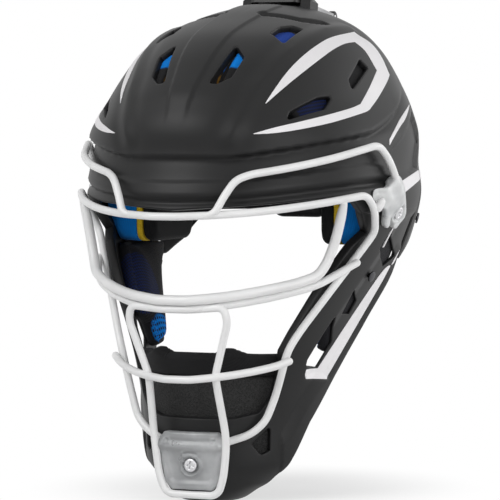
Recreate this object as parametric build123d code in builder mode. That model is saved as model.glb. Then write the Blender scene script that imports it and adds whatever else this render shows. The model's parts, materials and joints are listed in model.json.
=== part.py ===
from build123d import *
from math import radians, tan
import os

os.makedirs("parts", exist_ok=True)

# Driving sizes of the helmet, in millimetres
# X runs across the head, the face looks to -Y, Z is up
shell_height = 321.6
shell_half_width = 108.0
shell_length = 264.0
shell_wall = 3.6
overrun = 40.0
least_reach = 4.0
soft_gap = 0.4
run_gap = 0.4

# The datum is the ear line at cheek level, and all places are shares from it
datum_y = -0.0218 * shell_length
datum_z = 0.4976 * shell_height
top_view = Plane(origin=(0, datum_y, datum_z), x_dir=(1, 0, 0), z_dir=(0, 0, 1))
side_view = Plane(origin=(0, datum_y, datum_z), x_dir=(0, 1, 0), z_dir=(1, 0, 0))
front_view = Plane(origin=(0, datum_y, datum_z), x_dir=(1, 0, 0), z_dir=(0, -1, 0))


def place(shares):
    # A point from its three shares of half width, length and height
    return (
        shares[0] * shell_half_width,
        datum_y + shares[1] * shell_length,
        datum_z + shares[2] * shell_height,
    )


def side_points(shares):
    return [(y * shell_length, z * shell_height) for y, z in shares]


def front_points(shares):
    return [(x * shell_half_width, z * shell_height) for x, z in shares]


def top_points(shares):
    return [(x * shell_half_width, y * shell_length) for x, y in shares]


def mirrored(points):
    return points + [(-x, z) for x, z in reversed(points) if x > 0]


# Shell sections: level, half width, middle, reach to the front, reach to the rear
jaw_section_shares = [
    (-0.4976, 0.167, -0.220, 0.076, 0.053),
    (-0.485, 0.278, -0.197, 0.117, 0.083),
    (-0.460, 0.417, -0.152, 0.174, 0.129),
    (-0.410, 0.519, -0.114, 0.216, 0.227),
    (-0.339, 0.560, -0.076, 0.258, 0.318),
    (-0.249, 0.620, -0.030, 0.326, 0.394),
    (-0.149, 0.704, 0.023, 0.432, 0.455),
    (-0.047, 0.824, 0.038, 0.485, 0.492),
    (0.031, 0.907, 0.038, 0.492, 0.508),
    (0.124, 0.991, 0.023, 0.473, 0.523),
    (0.187, 0.960, 0.023, 0.451, 0.523),
    (0.255, 0.907, 0.030, 0.436, 0.508),
]
dome_section_shares = [
    (0.199, 0.970, 0.030, 0.462, 0.515),
    (0.236, 0.970, 0.030, 0.464, 0.515),
    (0.274, 0.926, 0.042, 0.470, 0.504),
    (0.314, 0.866, 0.061, 0.464, 0.477),
    (0.367, 0.787, 0.072, 0.420, 0.424),
    (0.407, 0.713, 0.080, 0.375, 0.379),
    (0.445, 0.616, 0.095, 0.311, 0.288),
    (0.473, 0.463, 0.121, 0.227, 0.220),
    (0.491, 0.296, 0.140, 0.144, 0.136),
    (0.501, 0.120, 0.148, 0.057, 0.053),
]


def section_loft(section_shares, inset):
    # A stack of ovals, each a wide front half and a longer rear half
    squeeze = 1 - 2 * inset / shell_height
    with BuildPart() as form:
        for level, width, middle, front, rear in section_shares:
            if min(front, rear) * shell_length < inset + least_reach:
                continue
            with BuildSketch(top_view.offset(level * shell_height * squeeze)):
                with BuildLine():
                    centre = (0, middle * shell_length)
                    half_width = width * shell_half_width - inset
                    EllipticalCenterArc(
                        centre, half_width, front * shell_length - inset, 180, arc_size=180
                    )
                    EllipticalCenterArc(
                        centre, half_width, rear * shell_length - inset, 0, arc_size=180
                    )
                make_face()
        loft()
    return form.part


def shell_form(inset):
    # The whole outer form drawn in by an inset, the dome standing proud of the brow
    first_dome_level = 1 if inset > 0 else 0
    return section_loft(jaw_section_shares, inset) + section_loft(
        dome_section_shares[first_dome_level:], inset
    )


clip_thickness = 7.0
liner_thickness = 15.0
outer_form = shell_form(0)
cavity_form = shell_form(shell_wall)
clip_form = shell_form(-clip_thickness)
liner_form = shell_form(shell_wall + soft_gap)
liner_inner_form = shell_form(shell_wall + soft_gap + liner_thickness)

# Outlines of the moulding in front and side view
port_shares = [
    (0, 0.096),
    (0.556, 0.108),
    (0.815, 0.118),
    (0.889, 0.112),
    (0.898, 0.087),
    (0.880, 0.044),
    (0.829, 0.019),
    (0.551, -0.155),
    (0.495, -0.193),
    (0.426, -0.286),
    (0.370, -0.314),
    (0.241, -0.325),
    (0, -0.326),
]
rear_edge_shares = [
    (-0.195, -0.520),
    (-0.205, -0.450),
    (-0.185, -0.410),
    (-0.140, -0.339),
    (-0.061, -0.249),
    (0.034, -0.149),
    (0.117, -0.047),
    (0.174, 0.031),
    (0.220, 0.140),
    (0.250, 0.264),
    (0.288, 0.389),
    (0.333, 0.529),
]
plate_outline_shares = [
    (0.172, -0.022),
    (0.193, 0.031),
    (0.239, 0.140),
    (0.269, 0.264),
    (0.307, 0.389),
    (0.330, 0.435),
    (0.600, 0.435),
    (0.600, 0.068),
    (0.379, 0.068),
    (0.326, 0.044),
    (0.265, 0.006),
]
port_corner = 5.0
slot_corner = 1.6
jaw_slot_shares = [
    [(0.023, 0.044), (-0.011, 0.009), (0.068, -0.034), (0.129, -0.012)],
    [(-0.069, -0.072), (-0.076, -0.124), (-0.036, -0.127), (-0.023, -0.100)],
    [
        (-0.109, -0.124),
        (-0.134, -0.157),
        (-0.175, -0.215),
        (-0.173, -0.224),
        (-0.128, -0.230),
        (-0.084, -0.182),
    ],
]
chin_vent_shares = [(-0.249, -0.340), (-0.249, -0.392), (-0.266, -0.400), (-0.282, -0.377)]

# Crown vents: centre, direction along, outward normal, length, width, outline
vents = [
    (
        (0.218, -0.317, 0.376),
        (0.159, 0.727, 0.668),
        (0.264, -0.683, 0.681),
        39.0,
        11.0,
        [(-0.41, 0.48), (-0.37, 0), (-0.15, -0.51), (0.36, -0.45), (0.58, 0.48)],
    ),
    (
        (0.381, -0.130, 0.448),
        (0.048, 0.949, 0.311),
        (0.348, -0.307, 0.886),
        31.0,
        12.5,
        [(-0.27, 0.45), (0.19, 0.48), (0.46, 0.10), (0.52, -0.48), (-0.43, -0.52)],
    ),
    (
        (0.760, -0.035, 0.364),
        (0.087, -0.890, -0.448),
        (0.848, -0.170, 0.503),
        34.0,
        8.0,
        [(-0.46, -0.47), (0.39, -0.36), (0.55, 0.31), (-0.47, 0.52)],
    ),
    (
        (0.674, -0.243, 0.299),
        (0.366, 0.884, 0.289),
        (0.716, -0.466, 0.520),
        43.0,
        9.0,
        [(-0.51, -0.17), (-0.39, 0.26), (0.20, 0.39), (0.50, 0.11), (0.20, -0.58)],
    ),
]
vent_corner = 1.5

# Fasteners: each stands square on the shell at a place, with Z pointing outwards
screw_radius = 2.2
screw_head_radius = 4.4
screw_head_height = 2.4
clip_screw_seat = 4.0
nut_radius = 7.0
nut_height = 2.4
rivet_radius = 1.6
rivet_head_radius = 3.6
rivet_head_height = 1.6
rivet_tail_radius = 3.0
rivet_tail_height = 1.2
temple_screw_shares = (0.966, -0.015, 0.087)
temple_normal = (0.945, -0.070, -0.320)
chin_screw_shares = (0, -0.329, -0.419)
jaw_rivet_shares = (0.819, -0.008, -0.048)
jaw_normal = (0.934, -0.062, -0.352)
guide_rivet_shares = (0.199, 0.182, 0.497)
stud_shares = (0.835, 0.273, 0.062)
stud_normal = (0.894, 0.366, -0.258)


def seat_view(shares, normal, flip):
    return Plane(
        origin=place((flip * shares[0], shares[1], shares[2])),
        z_dir=(flip * normal[0], normal[1], normal[2]),
    )


sides = (("left", 1), ("right", -1))
temple_views = [seat_view(temple_screw_shares, temple_normal, flip) for side, flip in sides]
chin_view = seat_view(chin_screw_shares, (0, -1, 0), 1)
jaw_rivet_views = [seat_view(jaw_rivet_shares, jaw_normal, flip) for side, flip in sides]
guide_rivet_views = [seat_view(guide_rivet_shares, (0, 0, 1), flip) for side, flip in sides]
stud_views = [seat_view(stud_shares, stud_normal, flip) for side, flip in sides]


def domed_pin(view, head_radius, head_height, seat, shank_radius, depth):
    # A pan head on its seat, with the shank going down through the hole
    with BuildPart() as pin:
        with BuildSketch(view.offset(seat)):
            Circle(head_radius)
        extrude(amount=head_height)
        rims = pin.edges().filter_by(GeomType.CIRCLE)
        fillet(rims.sort_by(Axis(view.origin, view.z_dir))[-1], head_height / 2)
        with BuildSketch(view.offset(-depth)):
            Circle(shank_radius)
        extrude(amount=depth + seat)
    return pin.part


# Front shell: one moulding for crown, temples, jaw and chin
with BuildPart() as front_shell:
    add(outer_form)
    add(cavity_form, mode=Mode.SUBTRACT)
    with BuildSketch(front_view) as port:
        Polygon(*mirrored(front_points(port_shares)), align=None)
        fillet(port.vertices().filter_by(lambda v: abs(v.X) > port_corner), port_corner)
    extrude(amount=shell_length, mode=Mode.SUBTRACT)
    with BuildSketch(side_view) as keep:
        edge = side_points(rear_edge_shares)
        Polygon(
            (-shell_length, edge[0][1]),
            *edge,
            (-shell_length, edge[-1][1]),
            align=None,
        )
    extrude(amount=shell_half_width + overrun, both=True, mode=Mode.INTERSECT)
    for slot_shares in jaw_slot_shares + [chin_vent_shares]:
        with BuildSketch(side_view) as slot:
            Polygon(*side_points(slot_shares), align=None)
            fillet(slot.vertices(), slot_corner)
        extrude(amount=shell_half_width + overrun, both=True, mode=Mode.SUBTRACT)
    for flip in (1, -1):
        for centre, along, normal, length, width, outline in vents:
            x, y, z = place(centre)
            vent_plane = Plane(
                origin=(flip * x, y, z),
                x_dir=(flip * along[0], along[1], along[2]),
                z_dir=(flip * normal[0], normal[1], normal[2]),
            )
            with BuildSketch(vent_plane) as vent:
                Polygon(*[(a * length, flip * b * width) for a, b in outline], align=None)
                fillet(vent.vertices(), vent_corner)
            extrude(amount=overrun / 2, both=True, mode=Mode.SUBTRACT)
    for view in [*temple_views, chin_view]:
        with BuildSketch(view):
            Circle(screw_radius + run_gap)
        extrude(amount=overrun / 2, both=True, mode=Mode.SUBTRACT)
    for view in [*jaw_rivet_views, *guide_rivet_views]:
        with BuildSketch(view):
            Circle(rivet_radius + run_gap)
        extrude(amount=overrun / 2, both=True, mode=Mode.SUBTRACT)
    for view in jaw_rivet_views:
        with BuildSketch(view):
            Circle(rivet_head_radius + run_gap)
        extrude(amount=overrun / 2, mode=Mode.SUBTRACT)
front_shell.part.label = "front_shell"
export_step(front_shell.part, "parts/front_shell.step")


# Crown ladder and its hinge, sloping down towards the rear
ladder_slope = 9.5
ladder_width = 36.0
ladder_length = 66.0
ladder_thickness = 2.6
ladder_front_shares = (0, 0.148, 0.5185)
barrel_radius = 3.4
barrel_length = 24.0
hinge_clear = 5.5
pin_radius = 1.5
pin_gap = 0.15
lug_width = 4.5
lug_wall = 2.6
lug_reach = 20.0
ladder_view = Plane(origin=place(ladder_front_shares)).rotated((-ladder_slope, 0, 0))
hinge_point = ladder_view.from_local_coords((0, ladder_length, 0))
hinge_view = Plane(origin=hinge_point, x_dir=ladder_view.y_dir, z_dir=(1, 0, 0))

# Back plate: the floating rear shell, arched over the nape, with two tall vents
# Two lugs rise from its top edge to the hinge of the crown ladder
plate_vent_length = 42.0
plate_vent_width = 10.0
plate_vent_spread_share = 0.3
plate_vent_level_share = 0.25
plate_vent_start_share = 0.2
lug_lean = 76.0
with BuildPart() as back_plate:
    add(outer_form)
    with BuildSketch(side_view) as plate_outline:
        Polygon(*side_points(plate_outline_shares), align=None)
        fillet(plate_outline.vertices(), port_corner)
    extrude(amount=shell_half_width + overrun, both=True, mode=Mode.INTERSECT)
    with BuildSketch(front_view.offset(-plate_vent_start_share * shell_length)):
        vent_spread = plate_vent_spread_share * shell_half_width
        with Locations(
            (vent_spread, plate_vent_level_share * shell_height),
            (-vent_spread, plate_vent_level_share * shell_height),
        ):
            SlotOverall(plate_vent_length, plate_vent_width, rotation=90)
    extrude(amount=-shell_length, mode=Mode.SUBTRACT)
    for flip in (1, -1):
        lug_middle = flip * (barrel_length / 2 + run_gap + lug_width / 2)
        with BuildSketch(hinge_view.offset(lug_middle)):
            Circle(pin_radius + lug_wall)
            with Locations(Location((0, 0, 0), (0, 0, -lug_lean))):
                with Locations((lug_reach / 2, 0)):
                    Rectangle(lug_reach, 2 * (pin_radius + lug_wall))
        extrude(amount=lug_width / 2, both=True)
    with BuildSketch(hinge_view):
        Circle(pin_radius)
    extrude(amount=shell_half_width, both=True, mode=Mode.SUBTRACT)
    add(cavity_form, mode=Mode.SUBTRACT)
    for view in stud_views:
        with BuildSketch(view):
            Circle(rivet_radius + run_gap)
        extrude(amount=overrun / 2, both=True, mode=Mode.SUBTRACT)
        with BuildSketch(view):
            Circle(rivet_head_radius + run_gap)
        extrude(amount=overrun / 2, mode=Mode.SUBTRACT)
back_plate.part.label = "back_plate"
export_step(back_plate.part, "parts/back_plate.step")

# Crown ladder: frosted ribbed strip that slides in the guide and carries the back plate
rib_count = 9
rib_height = 1.0
rib_width = 2.0
rib_start = 22.0
ladder_corner = 4.0
with BuildPart() as crown_ladder:
    with BuildSketch(ladder_view):
        with Locations((0, ladder_length / 2)):
            RectangleRounded(ladder_width, ladder_length, ladder_corner)
    extrude(amount=ladder_thickness / 2, both=True)
    with BuildSketch(ladder_view.offset(ladder_thickness / 2)):
        with Locations((0, rib_start + rib_count * rib_width)):
            with GridLocations(0, 2 * rib_width, 1, rib_count):
                Rectangle(ladder_width - 4 * rib_width, rib_width)
    extrude(amount=rib_height)
    with BuildSketch(hinge_view):
        Rectangle(2 * hinge_clear, 2 * hinge_clear)
    extrude(amount=ladder_width, both=True, mode=Mode.SUBTRACT)
    with BuildSketch(hinge_view):
        Circle(barrel_radius)
        with Locations((-hinge_clear, 0)):
            Rectangle(2 * hinge_clear, ladder_thickness)
    extrude(amount=barrel_length / 2, both=True)
    with BuildSketch(hinge_view):
        Circle(pin_radius + pin_gap)
    extrude(amount=barrel_length, both=True, mode=Mode.SUBTRACT)
crown_ladder.part.label = "crown_ladder"
export_step(crown_ladder.part, "parts/crown_ladder.step")

# Hinge pin: pressed in the lugs, free in the barrel
with BuildPart() as hinge_pin:
    with BuildSketch(hinge_view):
        Circle(pin_radius)
    extrude(amount=barrel_length / 2 + run_gap + lug_width, both=True)
    chamfer(hinge_pin.edges().filter_by(GeomType.CIRCLE), pin_gap)
hinge_pin.part.label = "hinge_pin"
export_step(hinge_pin.part, "parts/hinge_pin.step")

# Crown guide: black two-winged saddle on the shell, bridging the ladder
guide_half_width = 25.0
guide_length = 18.0
guide_rise = 3.6
guide_depth = 12.0
guide_shoulder = 3.2
guide_groove = 1.4
guide_sweep = 5.0
guide_rivet_seat = 6.6
guide_rivet_grip = 5.4
guide_section = Plane(
    origin=ladder_view.origin, x_dir=(1, 0, 0), z_dir=ladder_view.y_dir.reverse()
)
with BuildPart() as crown_guide:
    with BuildSketch(guide_section):
        wing = [
            (0, guide_rise - guide_groove),
            (guide_groove, guide_rise),
            (guide_half_width - guide_shoulder, guide_rise),
            (guide_half_width, guide_rise - guide_shoulder),
            (guide_half_width, -guide_depth),
        ]
        Polygon(*mirrored(wing), align=None)
    extrude(amount=-guide_length)
    with BuildSketch(ladder_view):
        swept = [
            (0, 0),
            (guide_half_width, guide_sweep),
            (guide_half_width, guide_length),
            (0, guide_length - guide_sweep),
        ]
        Polygon(*mirrored(swept), align=None)
    extrude(amount=guide_depth, both=True, mode=Mode.INTERSECT)
    with BuildSketch(ladder_view.offset(-guide_depth)) as guide_slot:
        Rectangle(ladder_width + 2 * run_gap, 4 * guide_length)
    extrude(amount=guide_depth + ladder_thickness / 2 + run_gap, mode=Mode.SUBTRACT)
    add(outer_form, mode=Mode.SUBTRACT)
    for view in guide_rivet_views:
        with BuildSketch(view):
            Circle(rivet_radius + run_gap)
        extrude(amount=overrun, both=True, mode=Mode.SUBTRACT)
        with BuildSketch(view.offset(guide_rivet_seat)):
            Circle(rivet_tail_radius + run_gap)
        extrude(amount=overrun, mode=Mode.SUBTRACT)
crown_guide.part.label = "crown_guide"
export_step(crown_guide.part, "parts/crown_guide.step")


# Face cage: bent white wires, welded where they cross
wire_radius = 2.5
port_wire_radius = 3.3
wire_bend = 11.0
sharp_turn = 35.0
run_share = 0.45


def bent_path(points):
    # Straight runs joined by arcs, tight at the corners and long in the bows
    runs = [Vector(*b) - Vector(*a) for a, b in zip(points, points[1:])]
    radii = []
    for before, after in zip(runs, runs[1:]):
        turn = before.get_angle(after)
        longest = run_share * min(before.length, after.length) / tan(radians(turn) / 2)
        radii.append(min(longest, wire_bend) if turn > sharp_turn else longest)
    FilletPolyline(*points, radius=radii)


def wire_half(shares, radius):
    with BuildPart() as half:
        with BuildLine() as path:
            bent_path([place(point) for point in shares])
        with BuildSketch(Plane(origin=path.line @ 0, z_dir=path.line % 0)):
            Circle(radius)
        sweep()
    return half.part


# Each later wire is coped where it is welded to an earlier one
# Perimeter wire: the brow bar, the temple corners, the jaw runs and the chin run
perimeter_shares = [
    (0, -0.492, 0.086),
    (0.083, -0.492, 0.086),
    (0.324, -0.460, 0.089),
    (0.565, -0.390, 0.096),
    (0.801, -0.284, 0.109),
    (0.958, -0.167, 0.123),
    (0.968, -0.125, 0.093),
    (0.935, -0.093, 0.047),
    (0.898, -0.106, 0.025),
    (0.611, -0.250, -0.149),
    (0.556, -0.273, -0.187),
    (0.481, -0.278, -0.280),
    (0.426, -0.288, -0.330),
    (0.343, -0.300, -0.356),
    (0.185, -0.330, -0.375),
    (0.056, -0.343, -0.379),
    (0, -0.343, -0.379),
]
with BuildPart() as perimeter_wire:
    add(wire_half(perimeter_shares, wire_radius))
    mirror(about=Plane.YZ)
perimeter_wire.part.label = "perimeter_wire"
export_step(perimeter_wire.part, "parts/perimeter_wire.step")

# Eye port wire: thicker, round the sides and foot of the eye port
eye_port_shares = [
    (0, -0.447, -0.082),
    (0.093, -0.447, -0.082),
    (0.296, -0.417, -0.076),
    (0.481, -0.367, -0.065),
    (0.648, -0.301, -0.051),
    (0.741, -0.261, -0.037),
    (0.778, -0.241, -0.012),
    (0.819, -0.227, 0.031),
    (0.852, -0.223, 0.081),
    (0.875, -0.220, 0.107),
]
with BuildPart() as eye_port_wire:
    add(wire_half(eye_port_shares, port_wire_radius))
    mirror(about=Plane.YZ)
    add(perimeter_wire.part, mode=Mode.SUBTRACT)
eye_port_wire.part.label = "eye_port_wire"
export_step(eye_port_wire.part, "parts/eye_port_wire.step")

# Upper cross bar: tucked under the eye port wire, with free tips
upper_bar_shares = [
    (0, -0.439, -0.100),
    (0.093, -0.439, -0.100),
    (0.296, -0.409, -0.093),
    (0.509, -0.347, -0.080),
    (0.722, -0.254, -0.058),
    (0.815, -0.189, -0.031),
    (0.875, -0.133, -0.012),
]
with BuildPart() as upper_cross_bar:
    add(wire_half(upper_bar_shares, wire_radius))
    mirror(about=Plane.YZ)
    add([perimeter_wire.part, eye_port_wire.part], mode=Mode.SUBTRACT)
upper_cross_bar.part.label = "upper_cross_bar"
export_step(upper_cross_bar.part, "parts/upper_cross_bar.step")

# Lower cross bar: bows across the mouth, with tips curled up at the jaw
lower_bar_shares = [
    (0, -0.427, -0.241),
    (0.083, -0.427, -0.241),
    (0.259, -0.401, -0.235),
    (0.417, -0.354, -0.226),
    (0.528, -0.307, -0.216),
    (0.593, -0.278, -0.205),
]
with BuildPart() as lower_cross_bar:
    add(wire_half(lower_bar_shares, wire_radius))
    mirror(about=Plane.YZ)
    add(perimeter_wire.part, mode=Mode.SUBTRACT)
lower_cross_bar.part.label = "lower_cross_bar"
export_step(lower_cross_bar.part, "parts/lower_cross_bar.step")

# Chin loop: closed trapezoid hung from the cross bar, its foot below the chin clip
chin_loop_shares = [
    (0, -0.426, -0.109),
    (0.093, -0.426, -0.109),
    (0.306, -0.416, -0.103),
    (0.324, -0.413, -0.131),
    (0.222, -0.396, -0.233),
    (0.222, -0.388, -0.255),
    (0.241, -0.348, -0.367),
    (0.213, -0.345, -0.442),
    (0.171, -0.341, -0.479),
    (0, -0.341, -0.479),
]
with BuildPart() as chin_loop_wire:
    add(wire_half(chin_loop_shares, wire_radius))
    mirror(about=Plane.YZ)
    add([upper_cross_bar.part, lower_cross_bar.part, perimeter_wire.part], mode=Mode.SUBTRACT)
chin_loop_wire.part.label = "chin_loop_wire"
export_step(chin_loop_wire.part, "parts/chin_loop_wire.step")

# Brow loops: from the brow bar up, back along the brow and down into the temple clips
brow_loop_shares = [
    (0.296, -0.467, 0.090),
    (0.343, -0.451, 0.124),
    (0.398, -0.432, 0.157),
    (0.463, -0.405, 0.168),
    (0.653, -0.345, 0.180),
    (0.833, -0.252, 0.197),
    (0.977, -0.110, 0.222),
    (1.000, -0.068, 0.193),
    (1.019, -0.042, 0.155),
]
hook_stub_shares = [(0.966, -0.123, 0.090), (0.990, -0.095, 0.102), (1.010, -0.062, 0.128)]
for side, flip in sides:
    with BuildPart() as brow_loop:
        if flip > 0:
            add(wire_half(brow_loop_shares, wire_radius))
        else:
            add(wire_half(brow_loop_shares, wire_radius).mirror(Plane.YZ))
        add(perimeter_wire.part, mode=Mode.SUBTRACT)
    brow_loop.part.label = "brow_loop_" + side
    export_step(brow_loop.part, "parts/brow_loop_" + side + ".step")

# Hook stubs: short welded ends that the temple clips hold
with BuildPart() as hook_stubs:
    add(wire_half(hook_stub_shares, wire_radius))
    mirror(about=Plane.YZ)
    add(perimeter_wire.part, mode=Mode.SUBTRACT)
hook_stubs.part.label = "hook_stubs"
export_step(hook_stubs.part, "parts/hook_stubs.step")

# Clips of frosted plastic: each follows the shell and is moulded round the wires it holds
temple_clip_shares = [
    (-0.070, 0.154),
    (-0.030, 0.135),
    (-0.011, 0.112),
    (0.015, 0.076),
    (-0.021, 0.056),
    (-0.064, 0.058),
    (-0.108, 0.090),
    (-0.152, 0.127),
    (-0.112, 0.135),
    (-0.091, 0.144),
]
chin_clip_shares = [
    (0, -0.349),
    (0.167, -0.351),
    (0.194, -0.367),
    (0.206, -0.388),
    (0.164, -0.453),
    (0.120, -0.466),
    (0, -0.466),
]
chin_clip_start_share = 0.2
clip_corner = 1.2
wires = [perimeter_wire.part, chin_loop_wire.part, hook_stubs.part, brow_loop.part]
wires.append(brow_loop.part.mirror(Plane.YZ))
for (side, flip), screw_view in zip(sides, temple_views):
    with BuildPart() as temple_clip:
        with BuildSketch(side_view) as clip_outline:
            Polygon(*side_points(temple_clip_shares), align=None)
            fillet(clip_outline.vertices(), clip_corner)
        extrude(amount=flip * (shell_half_width + overrun))
        add(clip_form, mode=Mode.INTERSECT)
        add([outer_form, *wires], mode=Mode.SUBTRACT)
        with BuildSketch(screw_view):
            Circle(screw_radius + run_gap)
        extrude(amount=overrun, both=True, mode=Mode.SUBTRACT)
        with BuildSketch(screw_view.offset(clip_screw_seat)):
            Circle(screw_head_radius + run_gap)
        extrude(amount=overrun, mode=Mode.SUBTRACT)
    temple_clip.part.label = "temple_clip_" + side
    export_step(temple_clip.part, "parts/temple_clip_" + side + ".step")

with BuildPart() as chin_clip:
    with BuildSketch(front_view.offset(chin_clip_start_share * shell_length)) as clip_outline:
        Polygon(*mirrored(front_points(chin_clip_shares)), align=None)
        corners = clip_outline.vertices().filter_by(lambda v: abs(v.X) > clip_corner)
        fillet(corners, clip_corner)
    extrude(amount=shell_length)
    add(clip_form, mode=Mode.INTERSECT)
    add([outer_form, *wires], mode=Mode.SUBTRACT)
    with BuildSketch(chin_view):
        Circle(screw_radius + run_gap)
    extrude(amount=overrun, both=True, mode=Mode.SUBTRACT)
    with BuildSketch(chin_view.offset(clip_screw_seat)):
        Circle(screw_head_radius + run_gap)
    extrude(amount=overrun, mode=Mode.SUBTRACT)
chin_clip.part.label = "chin_clip"
export_step(chin_clip.part, "parts/chin_clip.step")

# Clip screws and the flat nuts behind the shell
with BuildPart() as clip_screws:
    for view in [*temple_views, chin_view]:
        add(
            domed_pin(
                view,
                screw_head_radius,
                screw_head_height,
                clip_screw_seat,
                screw_radius,
                shell_wall + nut_height,
            )
        )
clip_screws.part.label = "clip_screws"
export_step(clip_screws.part, "parts/clip_screws.step")

with BuildPart() as clip_nuts:
    for view in [*temple_views, chin_view]:
        with BuildSketch(view.offset(-shell_wall - nut_height)):
            Circle(nut_radius)
            Circle(screw_radius, mode=Mode.SUBTRACT)
        extrude(amount=2 * nut_height)
    add(cavity_form, mode=Mode.INTERSECT)
clip_nuts.part.label = "clip_nuts"
export_step(clip_nuts.part, "parts/clip_nuts.step")

# Jaw rivets, guide rivets and the studs that hold the straps to the back plate
with BuildPart() as jaw_rivets:
    for view in jaw_rivet_views:
        depth = shell_wall + soft_gap
        add(domed_pin(view, rivet_head_radius, rivet_head_height, 0, rivet_radius, depth))
        with BuildSketch(view.offset(-depth)):
            Circle(rivet_tail_radius)
        extrude(amount=-rivet_tail_height)
jaw_rivets.part.label = "jaw_rivets"
export_step(jaw_rivets.part, "parts/jaw_rivets.step")

with BuildPart() as guide_rivets:
    for view in guide_rivet_views:
        add(
            domed_pin(
                view,
                rivet_tail_radius,
                rivet_head_height,
                guide_rivet_seat,
                rivet_radius,
                guide_rivet_grip,
            )
        )
        with BuildSketch(view.offset(-guide_rivet_grip)):
            Circle(rivet_tail_radius)
        extrude(amount=-rivet_tail_height)
guide_rivets.part.label = "guide_rivets"
export_step(guide_rivets.part, "parts/guide_rivets.step")

strap_thickness = 1.6
strap_room = soft_gap + strap_thickness + soft_gap
with BuildPart() as strap_studs:
    for view in stud_views:
        depth = shell_wall + strap_room
        add(domed_pin(view, rivet_head_radius, rivet_head_height, 0, rivet_radius, depth))
        with BuildSketch(view.offset(-depth)):
            Circle(rivet_tail_radius)
        extrude(amount=-rivet_tail_height)
strap_studs.part.label = "strap_studs"
export_step(strap_studs.part, "parts/strap_studs.step")

# Elastic side straps: from inside the front shell to the back plate, across the gap
strap_shares = [(0.095, 0.012), (0.303, 0.037), (0.303, 0.093), (0.095, 0.068)]
strap_corner = 3.0
strap_inner_form = shell_form(shell_wall + soft_gap + strap_thickness)
strap_room_form = shell_form(shell_wall + strap_room)
for (side, flip), view in zip(sides, stud_views):
    with BuildPart() as side_strap:
        with BuildSketch(side_view) as strap_outline:
            Polygon(*side_points(strap_shares), align=None)
            fillet(strap_outline.vertices(), strap_corner)
        extrude(amount=flip * (shell_half_width + overrun))
        add(liner_form, mode=Mode.INTERSECT)
        add(strap_inner_form, mode=Mode.SUBTRACT)
        with BuildSketch(view):
            Circle(rivet_radius + run_gap)
        extrude(amount=-overrun, mode=Mode.SUBTRACT)
    side_strap.part.label = "side_strap_" + side
    export_step(side_strap.part, "parts/side_strap_" + side + ".step")

# Padding: each pad fills an outline in the space behind the shell
pad_corner = 4.0
pad_depth = shell_wall + nut_height + 2 * soft_gap


def cushion(view, outline, length, pocket_views):
    # An outline run through the padding space, with pockets over the fasteners
    with BuildPart() as pad:
        with BuildSketch(view) as pad_outline:
            Polygon(*outline, align=None)
            fillet(pad_outline.vertices(), pad_corner)
        extrude(amount=length)
        add(liner_form, mode=Mode.INTERSECT)
        add(liner_inner_form, mode=Mode.SUBTRACT)
        for pocket_view in pocket_views:
            with BuildSketch(pocket_view.offset(-pad_depth)):
                Circle(nut_radius + soft_gap)
            extrude(amount=overrun, mode=Mode.SUBTRACT)
    return pad.part


# Brow pad, across the forehead
pad_start_share = 0.19
brow_pad_shares = [(0.694, 0.131), (0.694, 0.261)]
brow_view = front_view.offset(pad_start_share * shell_length)
with BuildPart() as brow_pad:
    add(cushion(brow_view, mirrored(front_points(brow_pad_shares)), shell_length, []))
    add(front_shell.part, mode=Mode.SUBTRACT)
brow_pad.part.label = "brow_pad"
export_step(brow_pad.part, "parts/brow_pad.step")

# Crown pads: one along the middle, one each side of it and one above each ear
crown_level_share = 0.275
temple_pad_start_share = 0.600
crown_middle_shares = [(0.167, -0.420), (0.167, 0.235)]
crown_side_shares = [(0.208, -0.400), (0.560, -0.330), (0.560, 0.190), (0.208, 0.225)]
temple_pad_shares = [(-0.300, 0.275), (0.190, 0.275), (0.200, 0.400), (-0.250, 0.400)]
crown_view = top_view.offset(crown_level_share * shell_height)
with BuildPart() as crown_pad_middle:
    add(cushion(crown_view, mirrored(top_points(crown_middle_shares)), shell_height, []))
crown_pad_middle.part.label = "crown_pad_middle"
export_step(crown_pad_middle.part, "parts/crown_pad_middle.step")

temple_pad_view = side_view.offset(temple_pad_start_share * shell_half_width)
crown_side = cushion(crown_view, top_points(crown_side_shares), shell_height, guide_rivet_views)
temple_side = cushion(temple_pad_view, side_points(temple_pad_shares), shell_half_width, [])

# Jaw pads, inside the cheeks
jaw_pad_shares = [
    (-0.091, 0.010),
    (0.080, 0.004),
    (0.115, 0),
    (0.076, -0.068),
    (0, -0.149),
    (-0.068, -0.187),
    (-0.189, -0.187),
    (-0.205, -0.155),
]
jaw_side = cushion(side_view, side_points(jaw_pad_shares), shell_length, jaw_rivet_views)

# Nape pads, inside the back plate
nape_pad_shares = [(0.046, 0.050), (0.380, 0.050), (0.463, 0.090), (0.463, 0.370), (0.046, 0.370)]
nape_view = Plane(
    origin=place((0, plate_vent_start_share, 0)), x_dir=(-1, 0, 0), z_dir=(0, 1, 0)
)
nape_side = cushion(nape_view, front_points(nape_pad_shares), shell_length, [])

for name, form, form_flip in (
    ("crown_pad", crown_side, 1),
    ("temple_pad", temple_side, 1),
    ("jaw_pad", jaw_side, 1),
    ("nape_pad", nape_side, -1),
):
    for side, flip in sides:
        with BuildPart() as side_pad:
            add(form if flip == form_flip else form.mirror(Plane.YZ))
        side_pad.part.label = name + "_" + side
        export_step(side_pad.part, "parts/" + name + "_" + side + ".step")

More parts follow.
